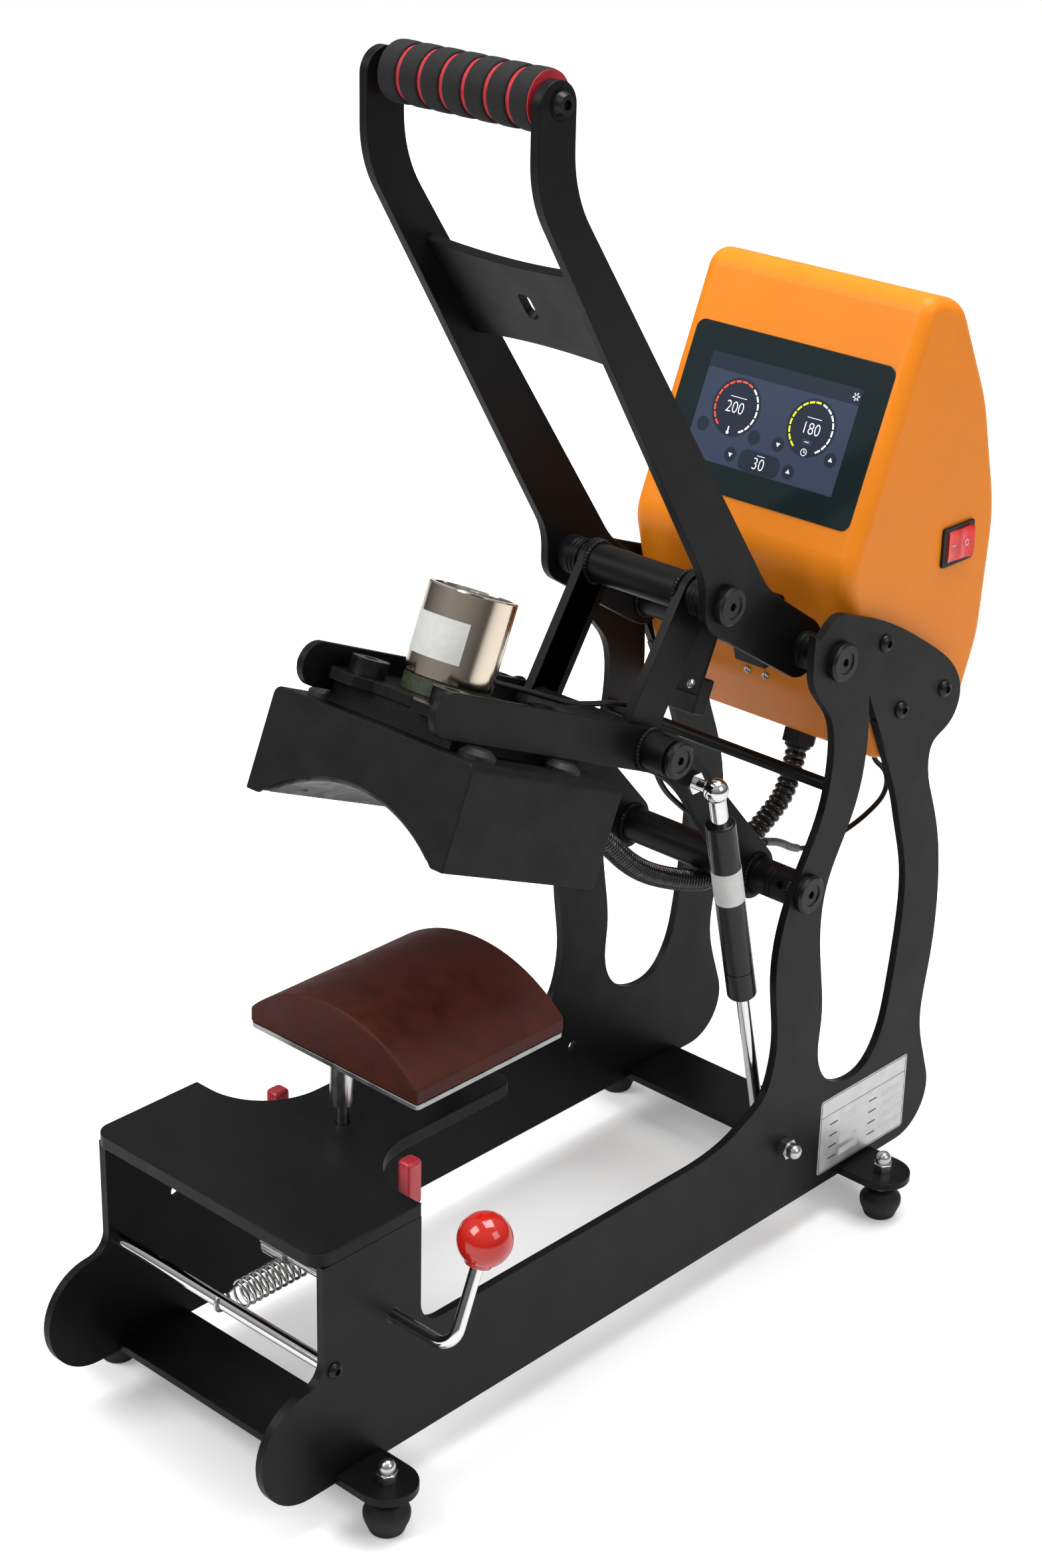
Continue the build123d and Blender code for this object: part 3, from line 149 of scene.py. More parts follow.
class Paint:
    """A procedural material: its tree, and its shader with the constants set on it."""

    def __init__(self, name, colour, roughness, **constants):
        self.name = name
        self.material = bpy.data.materials.new(name)
        self.material.use_nodes = True
        self.tree = self.material.node_tree
        self.shader = self.tree.nodes["Principled BSDF"]
        self.colour = colour
        self.shader.inputs["Base Color"].default_value = (*colour, 1)
        self.shader.inputs["Roughness"].default_value = roughness
        for socket, value in constants.items():
            self.shader.inputs[socket.replace("_", " ")].default_value = value

    def node(self, kind, settings, values, out=0):
        """A new node, its settings first and then its inputs, as the wire of one of its outputs."""
        made = self.tree.nodes.new(kind)
        for name, value in settings.items():
            setattr(made, name, value)
        for name, value in values.items():
            if isinstance(value, Wire):
                self.tree.links.new(value.socket, made.inputs[name])
            else:
                made.inputs[name].default_value = value
        return Wire(self, made.outputs[out])

    def place(self):
        """The point of the piece, in metres."""
        return self.node("ShaderNodeTexCoord", {}, {}, out="Object")

    def noise(self, size, detail=2.0, stretch=None):
        """Smooth noise from 0 to 1 with features of that size in metres, or longer along an axis."""
        point = self.place()
        if stretch:
            point = self.node("ShaderNodeMapping", {}, {"Vector": point, "Scale": stretch})
        return self.node("ShaderNodeTexNoise", {}, {"Vector": point, "Scale": 1 / size, "Detail": detail})

    def cells(self, size):
        """0 in the middle of round cells of that size in metres, and up to 1 between them."""
        return self.node("ShaderNodeTexVoronoi", {}, {"Vector": self.place(), "Scale": 1 / size})

    def mix(self, share, low, high):
        """Two colours mixed by a share."""
        low, high = ((*c, 1) if isinstance(c, tuple) else c for c in (low, high))
        return self.node("ShaderNodeMix", {"data_type": "RGBA"}, {0: share, 6: low, 7: high}, out=2)

    def set(self, socket, wire):
        self.tree.links.new(wire.socket, self.shader.inputs[socket])

    def bump(self, height, depth):
        """Relief: height 1 stands that many metres above height 0."""
        relief = {"Height": height, "Distance": depth, "Strength": 1.0}
        self.set("Normal", self.node("ShaderNodeBump", {}, relief))

    def vary(self, size, spread, roughness):
        """Clouds of that size: the colour lighter or darker by a spread, the roughness between two values."""
        clouds = self.noise(size, 3).between(0.3, 0.7)
        low, high = (tuple(c * (1 + side * spread) for c in self.colour) for side in (-1, 1))
        self.set("Base Color", self.mix(clouds, low, high))
        self.set("Roughness", roughness[0] + (roughness[1] - roughness[0]) * clouds)


def mesh_piece(name, points, faces, crease=40):
    """A mesh object in the row frame from arrays of points and faces, smooth but for edges over the crease.
    Points that coincide, as at a pole or a seam, are merged, and closed skins face outwards."""
    mesh = bpy.data.meshes.new(name)
    mesh.from_pydata(np.asarray(points, float).tolist(), [], [list(face) for face in faces])
    shape = bmesh.new()
    shape.from_mesh(mesh)
    bmesh.ops.remove_doubles(shape, verts=shape.verts, dist=1e-7)
    bmesh.ops.recalc_face_normals(shape, faces=shape.faces)
    shape.to_mesh(mesh)
    shape.free()
    mesh.polygons.foreach_set("use_smooth", np.full(len(mesh.polygons), True))
    mesh.set_sharp_from_angle(angle=radians(crease))
    piece = bpy.data.objects.new(name, mesh)
    bpy.context.scene.collection.objects.link(piece)
    return piece


white = Paint("white_floor", (0.8, 0.8, 0.8), 0.9, Specular_IOR_Level=0.1, Emission_Strength=1.0)
far = white.node("ShaderNodeVectorMath", {"operation": "LENGTH"}, {0: white.place()}, out=1).between(0.1, 1.0)
glow = white.mix(far, (0.2, 0.2, 0.2), (0.95, 0.95, 0.95))
seen_straight = white.node("ShaderNodeLightPath", {}, {}, out="Is Camera Ray")
white.set("Emission Color", white.mix(seen_straight, (0, 0, 0), glow))
floor_radius, floor_sides = 4, 96
rim = np.arange(floor_sides) * tau / floor_sides
rim_points = np.stack([floor_radius * np.cos(rim), floor_radius * np.sin(rim), 0 * rim], 1)
floor = mesh_piece("floor", rim_points, [range(floor_sides)])
floor.data.materials.append(white.material)


def lamp(name, place, target, size, power):
    """A square soft box at a place, facing a target."""
    light = bpy.data.lights.new(name, "AREA")
    light.shape = "SQUARE"
    light.size = size
    light.energy = power
    held = bpy.data.objects.new(name, light)
    aim = (Vector(target) - Vector(place)).to_track_quat("-Z", "Y")
    held.matrix_world = Matrix.Translation(place) @ aim.to_matrix().to_4x4()
    bpy.context.scene.collection.objects.link(held)


lamp("key_box", (-0.9, -1.9, 2.4), (0, 0, 0.35), 1.5, 56)
lamp("side_box", (2.3, 0.3, 1.8), (0, 0, 0.35), 1.2, 15)
lamp("top_box", (0.2, 0.5, 2.8), (0, 0, 0.3), 1.6, 68)

# Surround: white to the camera. What the press mirrors is dim low down and half as bright as white overhead.
world = bpy.data.worlds.new("surround")
bpy.context.scene.world = world
world.use_nodes = True
sky = world.node_tree
path = sky.nodes.new("ShaderNodeLightPath")
heading = sky.nodes.new("ShaderNodeTexCoord")
parts = sky.nodes.new("ShaderNodeSeparateXYZ")
room = sky.nodes.new("ShaderNodeMapRange")
for socket, value in (("From Min", -0.1), ("From Max", 0.7), ("To Min", 0.06), ("To Max", 0.5)):
    room.inputs[socket].default_value = value
seen = sky.nodes.new("ShaderNodeMapRange")
seen.inputs["To Max"].default_value = 1.0
sky.links.new(heading.outputs["Generated"], parts.inputs["Vector"])
sky.links.new(parts.outputs["Z"], room.inputs["Value"])
sky.links.new(room.outputs["Result"], seen.inputs["To Min"])
sky.links.new(path.outputs["Is Camera Ray"], seen.inputs["Value"])
sky.links.new(seen.outputs["Result"], sky.nodes["Background"].inputs["Strength"])
sky.nodes["Background"].inputs["Color"].default_value = (1, 1, 1, 1)


# Stand: side plates cut from 5 mm steel by laser, welded to folded bars and powder-coated satin black. The
# coat has a fine orange-peel skin.
def finish(piece, paint, body, stands_for=()):
    """Gives a piece its material and its body, and hides the CAD nodes that it stands for."""
    piece.data.materials.clear()
    piece.data.materials.append(paint.material)
    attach(piece, body)
    if stands_for:
        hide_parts(*stands_for)
    return piece


def too_tight(corner, rounded, knife=25, tiny=0.2 * mm):
    """Whether a corner is a knife point, with two rounded edges fewer than that many degrees apart, or has a
    tiny edge: rounding would throw its vertices far off the surface."""
    if any(edge.calc_length() < tiny for edge in corner.link_edges):
        return True
    ends = [edge.other_vert(corner).co for edge in corner.link_edges if edge[rounded]]
    runs = [(end - corner.co).normalized() for end in ends]
    return any(one.dot(other) > cos(radians(knife)) for i, one in enumerate(runs) for other in runs[:i])


def eased(paint, width, *nodes, segments=2, turn=35):
    """Copies of CAD nodes with their edges rounded by a width: triangles merged back into flat faces, then a
    bevel on every edge with a sharper turn in degrees, save where they meet too tightly to be rounded."""
    for node in nodes:
        source = frame["nodes"][node]
        mesh = source.data.copy()
        shape = bmesh.new()
        shape.from_mesh(mesh)
        bmesh.ops.remove_doubles(shape, verts=shape.verts, dist=1e-6)
        bmesh.ops.dissolve_limit(shape, angle_limit=radians(0.4), verts=shape.verts, edges=shape.edges)
        rounded = shape.edges.layers.float.new("bevel_weight_edge")
        for edge in shape.edges:
            edge[rounded] = len(edge.link_faces) == 2 and edge.calc_face_angle(0) > radians(turn)
        spared = [edge for corner in shape.verts if too_tight(corner, rounded) for edge in corner.link_edges]
        for edge in spared:
            edge[rounded] = 0
        shape.to_mesh(mesh)
        shape.free()
        for left in ("custom_normal", "sharp_face", "sharp_edge"):
            if left in mesh.attributes:
                mesh.attributes.remove(mesh.attributes[left])
        mesh.polygons.foreach_set("use_smooth", np.full(len(mesh.polygons), True))
        mesh.set_sharp_from_angle(angle=radians(turn))
        piece = bpy.data.objects.new(node + "_eased", mesh)
        bpy.context.scene.collection.objects.link(piece)
        round_edge = piece.modifiers.new("round_edge", "BEVEL")
        round_edge.width = width
        round_edge.segments = segments
        round_edge.limit_method = "WEIGHT"
        round_edge.use_clamp_overlap = False
        round_edge.loop_slide = False
        round_edge.harden_normals = True
        finish(piece, paint, body_of(source)[0], stands_for=(node,))
    return piece


def look(paint, *nodes):
    """Gives CAD nodes a material."""
    for name in nodes:
        for held in frame["nodes"][name].material_slots:
            held.material = paint.material


black = Paint("black_paint", (0.0045, 0.0045, 0.0048), 0.42, Specular_IOR_Level=0.15)
black.vary(0.03, 0.12, (0.36, 0.46))
black.bump(black.noise(0.0011, 3), 0.00005)
look(black, "side_plate_right", "side_plate_left", "tie_rod", "handle_cross_tube", "rocker_tube", "grip_tube")


# Rail corners: the front edge of each side plate's post runs down into the rail in one smooth curve. A fillet
# as thick as the plate closes the cut that the plate has there, sunk a hair under both its faces.
def quads(rows, columns, row_hoop=False, column_hoop=True):
    """The faces of a grid of points, kept row after row: each joins (i, j), (i, j + 1), (i + 1, j + 1) and
    (i + 1, j), and round a hoop the last row or column joins the first."""
    i, j = np.indices((rows - (not row_hoop), columns - (not column_hoop)))
    below, beside = (i + 1) % rows, (j + 1) % columns
    corners = (i * columns + j, i * columns + beside, below * columns + beside, below * columns + j)
    return np.stack(corners, -1).reshape(-1, 4)


def walls_and_ends(count, first=0):
    """The faces of a prism between two outlines of that many points, the second kept after the first."""
    walls = quads(2, count) + first
    return [*walls.tolist(), range(first, first + count), range(first + count, first + 2 * count)]


plate_inner, plate_outer, sunk = 85, 90, 0.03
corner_line = np.array([
    (105.2, 107), (98.4, 104.1), (92, 101.4), (85, 99.2), (77, 97.5), (69, 96.4), (60, 95.75), (54.9, 95.5),
    (54.9, 94), (118, 94), (118, 104), (112, 106),
])
depths = (plate_inner + sunk, plate_outer - sunk, -plate_outer + sunk, -plate_inner - sunk)
fillet_points = np.concatenate([np.insert(corner_line, 0, x, axis=1) for x in depths]) * mm
fillet_faces = walls_and_ends(len(corner_line)) + walls_and_ends(len(corner_line), 2 * len(corner_line))
finish(mesh_piece("rail_corner_fillets", fillet_points, fillet_faces, 30), black, "frame")

# Shelf, bars, arms and moving plates: cut steel with turned bosses, in the same coat as the stand. It is
# thick enough to round their cut edges a little.
eased(black, 0.6 * mm, "shelf", "handle_arm_right", "handle_arm_left")
eased(
    black, 0.5 * mm, "cross_bars", "striker_plate", "rocker_plate_right", "rocker_plate_left", "bridge_plate",
)
eased(black, 0.4 * mm, "link_frame", "frame_pivot_bosses", "handle_bosses", "carrier_bosses")


# Weld seams: the beads that join the tubes and bosses to their plates, laid as rows of small ripples
# and coated with the rest.
def beads(name, body, seams, thick=1.5 * mm, ripple=1.9 * mm):
    """Each seam is (x, (y, z), radius), a ring about X: around it a round bead whose thickness is
    thick * (1 + 0.16 cos(turns of the ripple))."""
    points, faces = [], []
    steps, sides = 144, 8
    around, section = (np.arange(steps) * tau / steps)[:, None], np.arange(sides) * tau / sides
    for x, (y, z), radius in seams:
        ripples = round(tau * radius / ripple)
        girth = thick * (1 + 0.16 * np.cos(ripples * around))
        reach = radius + 0.3 * thick + girth * np.cos(section)
        spots = (x + girth * np.sin(section), y + reach * np.cos(around), z + reach * np.sin(around))
        faces.append(quads(steps, sides, row_hoop=True) + len(points) * steps * sides)
        points.append(np.stack(spots, -1).reshape(-1, 3))
    return finish(mesh_piece(name, np.concatenate(points), np.concatenate(faces)), black, body)


handle_axis, rocker_axis = (0.1665, 0.388), (0.1485, 0.245)
link_axis, carrier_axis = (0.0932, 0.4343), (0.0444, 0.3579)
tube_radius, boss_radius = 11.5 * mm, 11 * mm
beads(
    "rocker_welds", "rocker",
    [(side * 46.4 * mm, rocker_axis, boss_radius) for side in (-1, 1)]
    + [(side * 52.6 * mm, axis, 11.2 * mm) for side in (-1, 1) for axis in (rocker_axis, carrier_axis)],
)
beads("handle_welds", "handle", [(side * 55.8 * mm, handle_axis, tube_radius) for side in (-1, 1)])
beads("link_welds", "links", [(side * 33.4 * mm, link_axis, tube_radius) for side in (-1, 1)])
beads(
    "frame_welds", "frame",
    [(side * 84.4 * mm, axis, boss_radius) for side in (-1, 1) for axis in (rocker_axis, handle_axis)],
)

# Fasteners and pins: blackened socket screws and shoulder pins with an oiled sheen on the heads, bright
# zinc-plated studs and posts, and chromed rods.
steel = Paint("black_steel", (0.022, 0.022, 0.024), 0.32, Metallic=0.75)
steel.vary(0.006, 0.25, (0.26, 0.42))
steel.bump(steel.noise(0.0006, 2), 0.00001)
eased(steel, 0.25 * mm, "frame_pivot_pins", "handle_pins", "carrier_pins", "bridge_screws", "lever_bush")
zinc = Paint("bright_steel", (0.55, 0.54, 0.53), 0.26, Metallic=1.0)
zinc.vary(0.008, 0.1, (0.2, 0.28))
eased(zinc, 0.25 * mm, "foot_studs", "gas_lower_stud")
look(zinc, "platen_posts")
chrome = Paint("chrome", (0.72, 0.72, 0.73), 0.07, Metallic=1.0)
chrome.set("Roughness", 0.05 + 0.06 * chrome.noise(0.02, 3))
look(chrome, "spring_rod", "gas_rod", "gas_socket", "ball_stud")


# Button-head screws: four on each side plate hold the box and the rod of the clamp spring. Each is a dome
# round a blind socket, black like the pins.
def turned(name, profile, centres, axis=(0, 0, 1), sides=48, hoop=False, crease=40):
    """Surfaces of revolution: for each centre, the profile's points (along, radius) turned about the axis,
    centre + along * axis + radius * (cos a * u + sin a * v). A hoop's last point joins its first one."""
    axis = np.array(axis, float)
    u = np.cross(axis, [0, 1, 0] if abs(axis[1]) < 0.9 else [1, 0, 0])
    u /= np.linalg.norm(u)
    v = np.cross(axis, u)
    along, radius = np.array(profile, float).T
    a = np.arange(sides) * tau / sides
    spoke = np.cos(a)[:, None] * u + np.sin(a)[:, None] * v
    lathe = along[:, None, None] * axis + radius[:, None, None] * spoke
    points = np.concatenate([(np.array(centre, float) + lathe).reshape(-1, 3) for centre in centres])
    faces = [quads(len(profile), sides, hoop) + i * len(profile) * sides for i in range(len(centres))]
    return mesh_piece(name, points, np.concatenate(faces), crease)


def in_mm(profile):
    """A profile's points, given in millimetres."""
    return [(along * mm, radius * mm) for along, radius in profile]


def soft_corners(profile, radius, steps=5):
    """The profile with each inner corner rounded: the curve (1 - t)^2 start + 2 t (1 - t) corner + t^2 end,
    whose ends lie that far from the corner, or less where the next corner is close."""
    made = [profile[0]]
    for before, corner, after in zip(profile, profile[1:], profile[2:]):
        before, corner, after = (np.array(p, float) for p in (before, corner, after))
        reach = [min(radius, np.linalg.norm(p - corner) * 0.49) for p in (before, after)]
        start = corner + (before - corner) / np.linalg.norm(before - corner) * reach[0]
        end = corner + (after - corner) / np.linalg.norm(after - corner) * reach[1]
        t = np.linspace(0, 1, steps)[:, None]
        made += [tuple(spot) for spot in (1 - t) ** 2 * start + 2 * t * (1 - t) * corner + t * t * end]
    return made + [profile[-1]]


button = [
    (0, 1.0), (0.15, 1.0), (0.45, 0.93), (0.75, 0.76), (0.93, 0.56), (1.0, 0.44), (0.97, 0.41), (0.4, 0.38),
    (0.4, 0),
]
screw_places = ((210.2, 387.0, 5.5), (274.6, 339.7, 5.5), (230.9, 338.6, 5.5), (-236.5, 100.0, 4.8))
for side, word in ((1, "right"), (-1, "left")):
    for number, (y, z, radius) in enumerate(screw_places, 1):
        head = [(0, 0)] + in_mm([(side * rise * 0.6 * radius, reach * radius) for rise, reach in button])
        centre = (side * plate_outer * mm, y * mm, z * mm)
        screw = turned(f"screw_head_{word}_{number}", head, [centre], (1, 0, 0), crease=35)
        stands_for = ("frame_screws",) if (side, number) == (1, 1) else ()
        finish(screw, steel, "frame", stands_for=stands_for)

# Feet: turned black rubber, waisted above the swell, each on a zinc stud whose thread shows under the tab and
# levels the press.
foot_places = [(x * 112 * mm, y * 219.5 * mm, 0) for x in (-1, 1) for y in (-1, 1)]
foot_profile = [(0, 0), (0, 9.6), (3, 10.6), (9, 13.1), (13.5, 13.2), (16.5, 10), (18.6, 8.6), (18.8, 0)]
rubber = Paint("foot_rubber", (0.012, 0.012, 0.012), 0.62, Specular_IOR_Level=0.35)
rubber.vary(0.008, 0.3, (0.55, 0.75))
rubber.bump(rubber.noise(0.0007, 3), 0.00006)
foot_curve = soft_corners(in_mm(foot_profile), 2 * mm)
finish(turned("rubber_foot_set", foot_curve, foot_places), rubber, "frame", stands_for=("rubber_feet",))
thread_foot, thread_top, thread_pitch, flank = 18.7, 27.2, 1.25, 0.62
root, thread_crest = 3.5, 4.1
thread = [(thread_foot, 0)]
for turn in range(7):
    start = thread_foot + thread_pitch * turn
    thread += [(start, root), (start + flank, thread_crest)]
thread += [(thread_top, root), (thread_top, 0)]
finish(turned("foot_threads", in_mm(thread), foot_places, sides=32, crease=20), zinc, "frame")


# Clamp spring: an open coil of bright wire between the rod across the front and the lug behind it, with a
# ring hook at each end.
def tube(name, line, radius, sides=16):
    """A round tube along a line, closed to a point at both ends. Each ring's first spoke is the last one's,
    squared to the run there: ring = line + radius * (cos a * spoke + sin a * run x spoke)."""
    run = np.gradient(line, axis=0)
    run /= np.linalg.norm(run, axis=1)[:, None]
    spoke = np.cross(run[0], (0.31, 0.52, 0.79))
    spokes = []
    for heading in run:
        spoke = spoke - heading * (spoke @ heading)
        spoke = spoke / np.linalg.norm(spoke)
        spokes.append(spoke)
    spokes = np.array(spokes)
    a = np.arange(sides) * tau / sides
    over = np.cross(run, spokes)
    ring = np.cos(a)[None, :, None] * spokes[:, None] + np.sin(a)[None, :, None] * over[:, None]
    rings = line[:, None] + np.broadcast_to(radius, len(line))[:, None, None] * ring
    rings = np.concatenate([np.repeat(line[:1, None], sides, 1), rings, np.repeat(line[-1:, None], sides, 1)])
    return mesh_piece(name, rings.reshape(-1, 3), quads(len(rings), sides), crease=50)


def hook_line(x, y, z, radius, start, end, steps):
    """A ring about X from a first angle to a last one, in degrees."""
    a = np.radians(np.linspace(start, end, steps))
    return np.stack([x + 0 * a, y + radius * np.cos(a), z + radius * np.sin(a)], 1)


coil_front, coil_rear, coil_height, coil_reach = -223.5 * mm, -174 * mm, 97.5 * mm, 7.5 * mm
coil_turns, wire = 10.5, 0.9 * mm
a = np.linspace(0, coil_turns * tau, round(coil_turns * 36) + 1)
coil_run = np.linspace(coil_front, coil_rear, len(a))
coil = np.stack([coil_reach * np.sin(a), coil_run, coil_height + coil_reach * np.cos(a)], 1)
front_hook = hook_line(1.5 * mm, -236.5 * mm, 100 * mm, 5.1 * mm, -235, 50, 30)
rear_hook = hook_line(0, -167.2 * mm, 99 * mm, 3.4 * mm, 200, -110, 26)
lead_in = np.linspace(0, 1, 9)[1:-1, None]
wire_line = np.concatenate([
    front_hook, front_hook[-1] + (coil[0] - front_hook[-1]) * lead_in, coil,
    coil[-1] + (rear_hook[0] - coil[-1]) * lead_in, rear_hook,
])
spring = finish(tube("spring_coil", wire_line, wire, 12), zinc, "frame", stands_for=("clamp_spring",))
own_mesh(spring)

# Cap clamp: a chromed rod across the stand with a ball knob, and a bent yoke whose arms end in dipped
# vinyl grips.
look(chrome, "lever_rod")
eased(zinc, 0.6 * mm, "clamp_yoke")
vinyl = Paint("red_vinyl", (0.46, 0.018, 0.03), 0.34, Coat_Weight=0.3, Coat_Roughness=0.2)
vinyl.vary(0.01, 0.12, (0.28, 0.42))
vinyl.bump(vinyl.noise(0.0025, 3), 0.00012)
eased(vinyl, 2.4 * mm, "clamp_grips", segments=4)
ball = Paint("red_knob", (0.47, 0.012, 0.006), 0.1, Coat_Weight=0.35, Coat_Roughness=0.04)
ball.vary(0.01, 0.05, (0.08, 0.14))
lever_bend, knob_centre = np.array([134, -193.1, 113.4]) * mm, np.array([134, -169.9, 170.9]) * mm
stem = (knob_centre - lever_bend) / np.linalg.norm(knob_centre - lever_bend)
knob_radius = 15
slopes = np.radians(np.linspace(-58, 90, 40)[:-1])
knob_profile = [(-knob_radius, 0), (-knob_radius, 6.4), (-14.6, 7)]
knob_profile += [(knob_radius * sin(slope), knob_radius * cos(slope)) for slope in slopes]
knob_piece = turned("ball_knob", in_mm(knob_profile + [(knob_radius, 0)]), [knob_centre], stem, 64)
finish(knob_piece, ball, "cap_clamp", stands_for=("lever_knob",))
neck_foot, neck_top, root, thread_crest = -21, -14.9, 2.9, 3.3
neck = [(neck_foot, 0)]
for turn in range(6):
    neck += [(neck_foot + turn, root), (neck_foot + turn + 0.5, thread_crest)]
neck += [(neck_top, root), (neck_top, 0)]
knob_neck = turned("knob_neck", in_mm(neck), [knob_centre], stem, 32, crease=20)
finish(knob_neck, zinc, "cap_clamp")

# Heating head: a sheet housing in rough black paint over a cast platen, hung from a painted block under the
# bridge plate, with pressed caps over its screws. The platen's plate below it is bare steel.
textured = Paint("black_texture", (0.0065, 0.0065, 0.007), 0.52, Specular_IOR_Level=0.16)
textured.vary(0.02, 0.15, (0.46, 0.6))
grit = textured.noise(0.0009, 4) * 0.6 + textured.cells(0.0014) * 0.4
textured.bump(grit, 0.0002)
eased(textured, 0.8 * mm, "heater_housing")
eased(textured, 0.5 * mm, "heat_block")
cast = Paint("cast_aluminium", (0.09, 0.088, 0.085), 0.5, Metallic=0.85)
cast.vary(0.008, 0.35, (0.4, 0.62))
cast.bump(cast.noise(0.0012, 4), 0.0001)
eased(cast, 0.6 * mm, "heat_platen")
cap = Paint("cap_black", (0.012, 0.012, 0.012), 0.55, Specular_IOR_Level=0.4)
cap.vary(0.003, 0.3, (0.45, 0.65))
cap.bump(cap.noise(0.0008, 3), 0.00012)
look(cap, "housing_caps")
plate = Paint("steel_plate", (0.34, 0.34, 0.34), 0.33, Metallic=1.0)
plate.vary(0.012, 0.15, (0.25, 0.42))
plate.bump(plate.noise(0.0006, 2, stretch=(1, 12, 1)), 0.00001)
eased(plate, 0.3 * mm, "platen_base")

# Holding magnet: a nickel-plated pot with a ground core set in dark resin, on a green insulating ring. It
# pulls the handle's striker plate down when the head is closed.
nickel = Paint("magnet_steel", (0.74, 0.64, 0.52), 0.16, Metallic=1.0)
nickel.set("Roughness", 0.1 + 0.05 * nickel.noise(0.02, 2, stretch=(1, 1, 0.1)))
head_tilt = radians(23.1)
magnet_axis = np.array([0, sin(head_tilt), cos(head_tilt)])
magnet_foot = np.array([0, -64.7621, 415.3454]) * mm
shell_profile = [(0, 0), (0, 24.4), (0.6, 25), (49.2, 25), (50, 24.2), (50, 21.6), (48.6, 21.4), (48.6, 0)]
shell = turned("magnet_shell", in_mm(shell_profile), [magnet_foot], magnet_axis, 128)
finish(shell, nickel, "rocker", stands_for=("magnet",))
core_profile = [(48.5, 0), (48.5, 10.5), (49.8, 10.5), (50, 10.2), (50, 4.0), (48.7, 3.4), (48.7, 0)]
core = turned("magnet_core", in_mm(core_profile), [magnet_foot], magnet_axis, 96)
ground = Paint("ground_face", (0.4, 0.39, 0.38), 0.42, Metallic=1.0)
ground.vary(0.01, 0.12, (0.36, 0.5))
finish(core, ground, "rocker")
potting = Paint("potting", (0.05, 0.05, 0.05), 0.5)
potting.vary(0.004, 0.25, (0.4, 0.6))
resin_profile = [(48.4, 0), (48.4, 21.5), (49.3, 21.5), (49.3, 0)]
resin = turned("magnet_potting", in_mm(resin_profile), [magnet_foot], magnet_axis, 96)
finish(resin, potting, "rocker")
green = Paint("insulator", (0.028, 0.04, 0.018), 0.45)
green.vary(0.004, 0.3, (0.42, 0.58))
green.bump(green.noise(0.0008, 3), 0.00008)
eased(green, 0.4 * mm, "magnet_insulator")

# Lower platen's cover: silicone sponge the colour of brick, moulded to the platen's curve, with a dull skin
# and soft edges.
silicone = Paint("silicone", (0.056, 0.0098, 0.0048), 0.6, Specular_IOR_Level=0.2)
silicone.vary(0.015, 0.18, (0.52, 0.68))
silicone.bump(silicone.noise(0.0007, 3) + 0.5 * silicone.noise(0.006, 2), 0.00012)
pad = eased(silicone, 1.6 * mm, "platen_pad", segments=4)

# Gas spring: a gloss-black cylinder with a plain white label round it, on a chromed rod that turns on a stud
# at its foot. A ball socket joins its top to the rocker.
gloss = Paint("gas_gloss", (0.005, 0.005, 0.0055), 0.3, Specular_IOR_Level=0.35)
gloss.vary(0.02, 0.1, (0.24, 0.32))
look(gloss, "gas_cylinder")
gas_foot = np.array([72, 142.5, 73]) * mm
gas_run = np.array([0, -0.2359, 0.9718])
paper = Paint("label_paper", (0.62, 0.62, 0.61), 0.5)
paper.vary(0.004, 0.04, (0.4, 0.55))
sleeve_profile = [(184.5, 8.8), (184.5, 9.12), (207.3, 9.12), (207.3, 8.8)]
label = turned("gas_label", in_mm(sleeve_profile), [gas_foot], gas_run, 64, hoop=True)
finish(label, paper, "gas_cylinder")

# Magnet's label: plain paper, wrapped a third of the way round the pot and tucked in at its long edges.
label_low, label_high, label_steps = 11 * mm, 34 * mm, 40
angles = np.radians(np.linspace(-150, -44, label_steps))
label_spokes = np.stack([np.cos(angles), np.sin(angles), 0 * angles], -1)
label_spokes -= (label_spokes @ magnet_axis)[:, None] * magnet_axis
label_spokes /= np.linalg.norm(label_spokes, axis=-1)[:, None]
# Each row of points is magnet_foot + rise * magnet_axis + reach * spoke, from tucked edge to tucked edge.
rises = np.array([label_low, label_low, label_high, label_high])[:, None, None]
reaches = np.array([24.9, 25.1, 25.1, 24.9])[:, None, None] * mm
label_points = magnet_foot + rises * magnet_axis + reaches * label_spokes
label_faces = quads(4, label_steps, column_hoop=False)
magnet_label = mesh_piece("magnet_label", label_points.reshape(-1, 3), label_faces, crease=50)
finish(magnet_label, paper, "rocker")

# Handle grip: seven rings of soft foam on a red liner, pushed on the bar between the two arms. The liner
# shows between the rings.
grip_y, grip_z = -54 * mm, 731.8 * mm
ring_width, ring_pitch, first_ring = 12.16, 15.157, -49.7
foam = Paint("foam", (0.011, 0.011, 0.0115), 0.8, Specular_IOR_Level=0.3)
foam.vary(0.004, 0.25, (0.72, 0.88))
foam.bump(foam.noise(0.0005, 4) + foam.cells(0.0008) * 0.5, 0.00012)
ring_profile = [(0, 14.3), (0, 15.9), (2.2, 16), (9.96, 16), (ring_width, 15.9), (ring_width, 14.3)]
ring_profile = soft_corners(ring_profile, 1.6)
ring_profile = [(x, r - 0.35 * (2 * x / ring_width - 1) ** 4) for x, r in ring_profile]
ring_starts = [((first_ring + ring_pitch * ring) * mm, grip_y, grip_z) for ring in range(7)]
rings = turned("grip_rings", in_mm(ring_profile), ring_starts, (1, 0, 0), 96, hoop=True)
finish(rings, foam, "handle", stands_for=("grip_foam",))
liner = Paint("red_liner", (0.42, 0.012, 0.022), 0.62)
liner.vary(0.003, 0.2, (0.55, 0.72))
liner.bump(liner.noise(0.0005, 3), 0.00006)
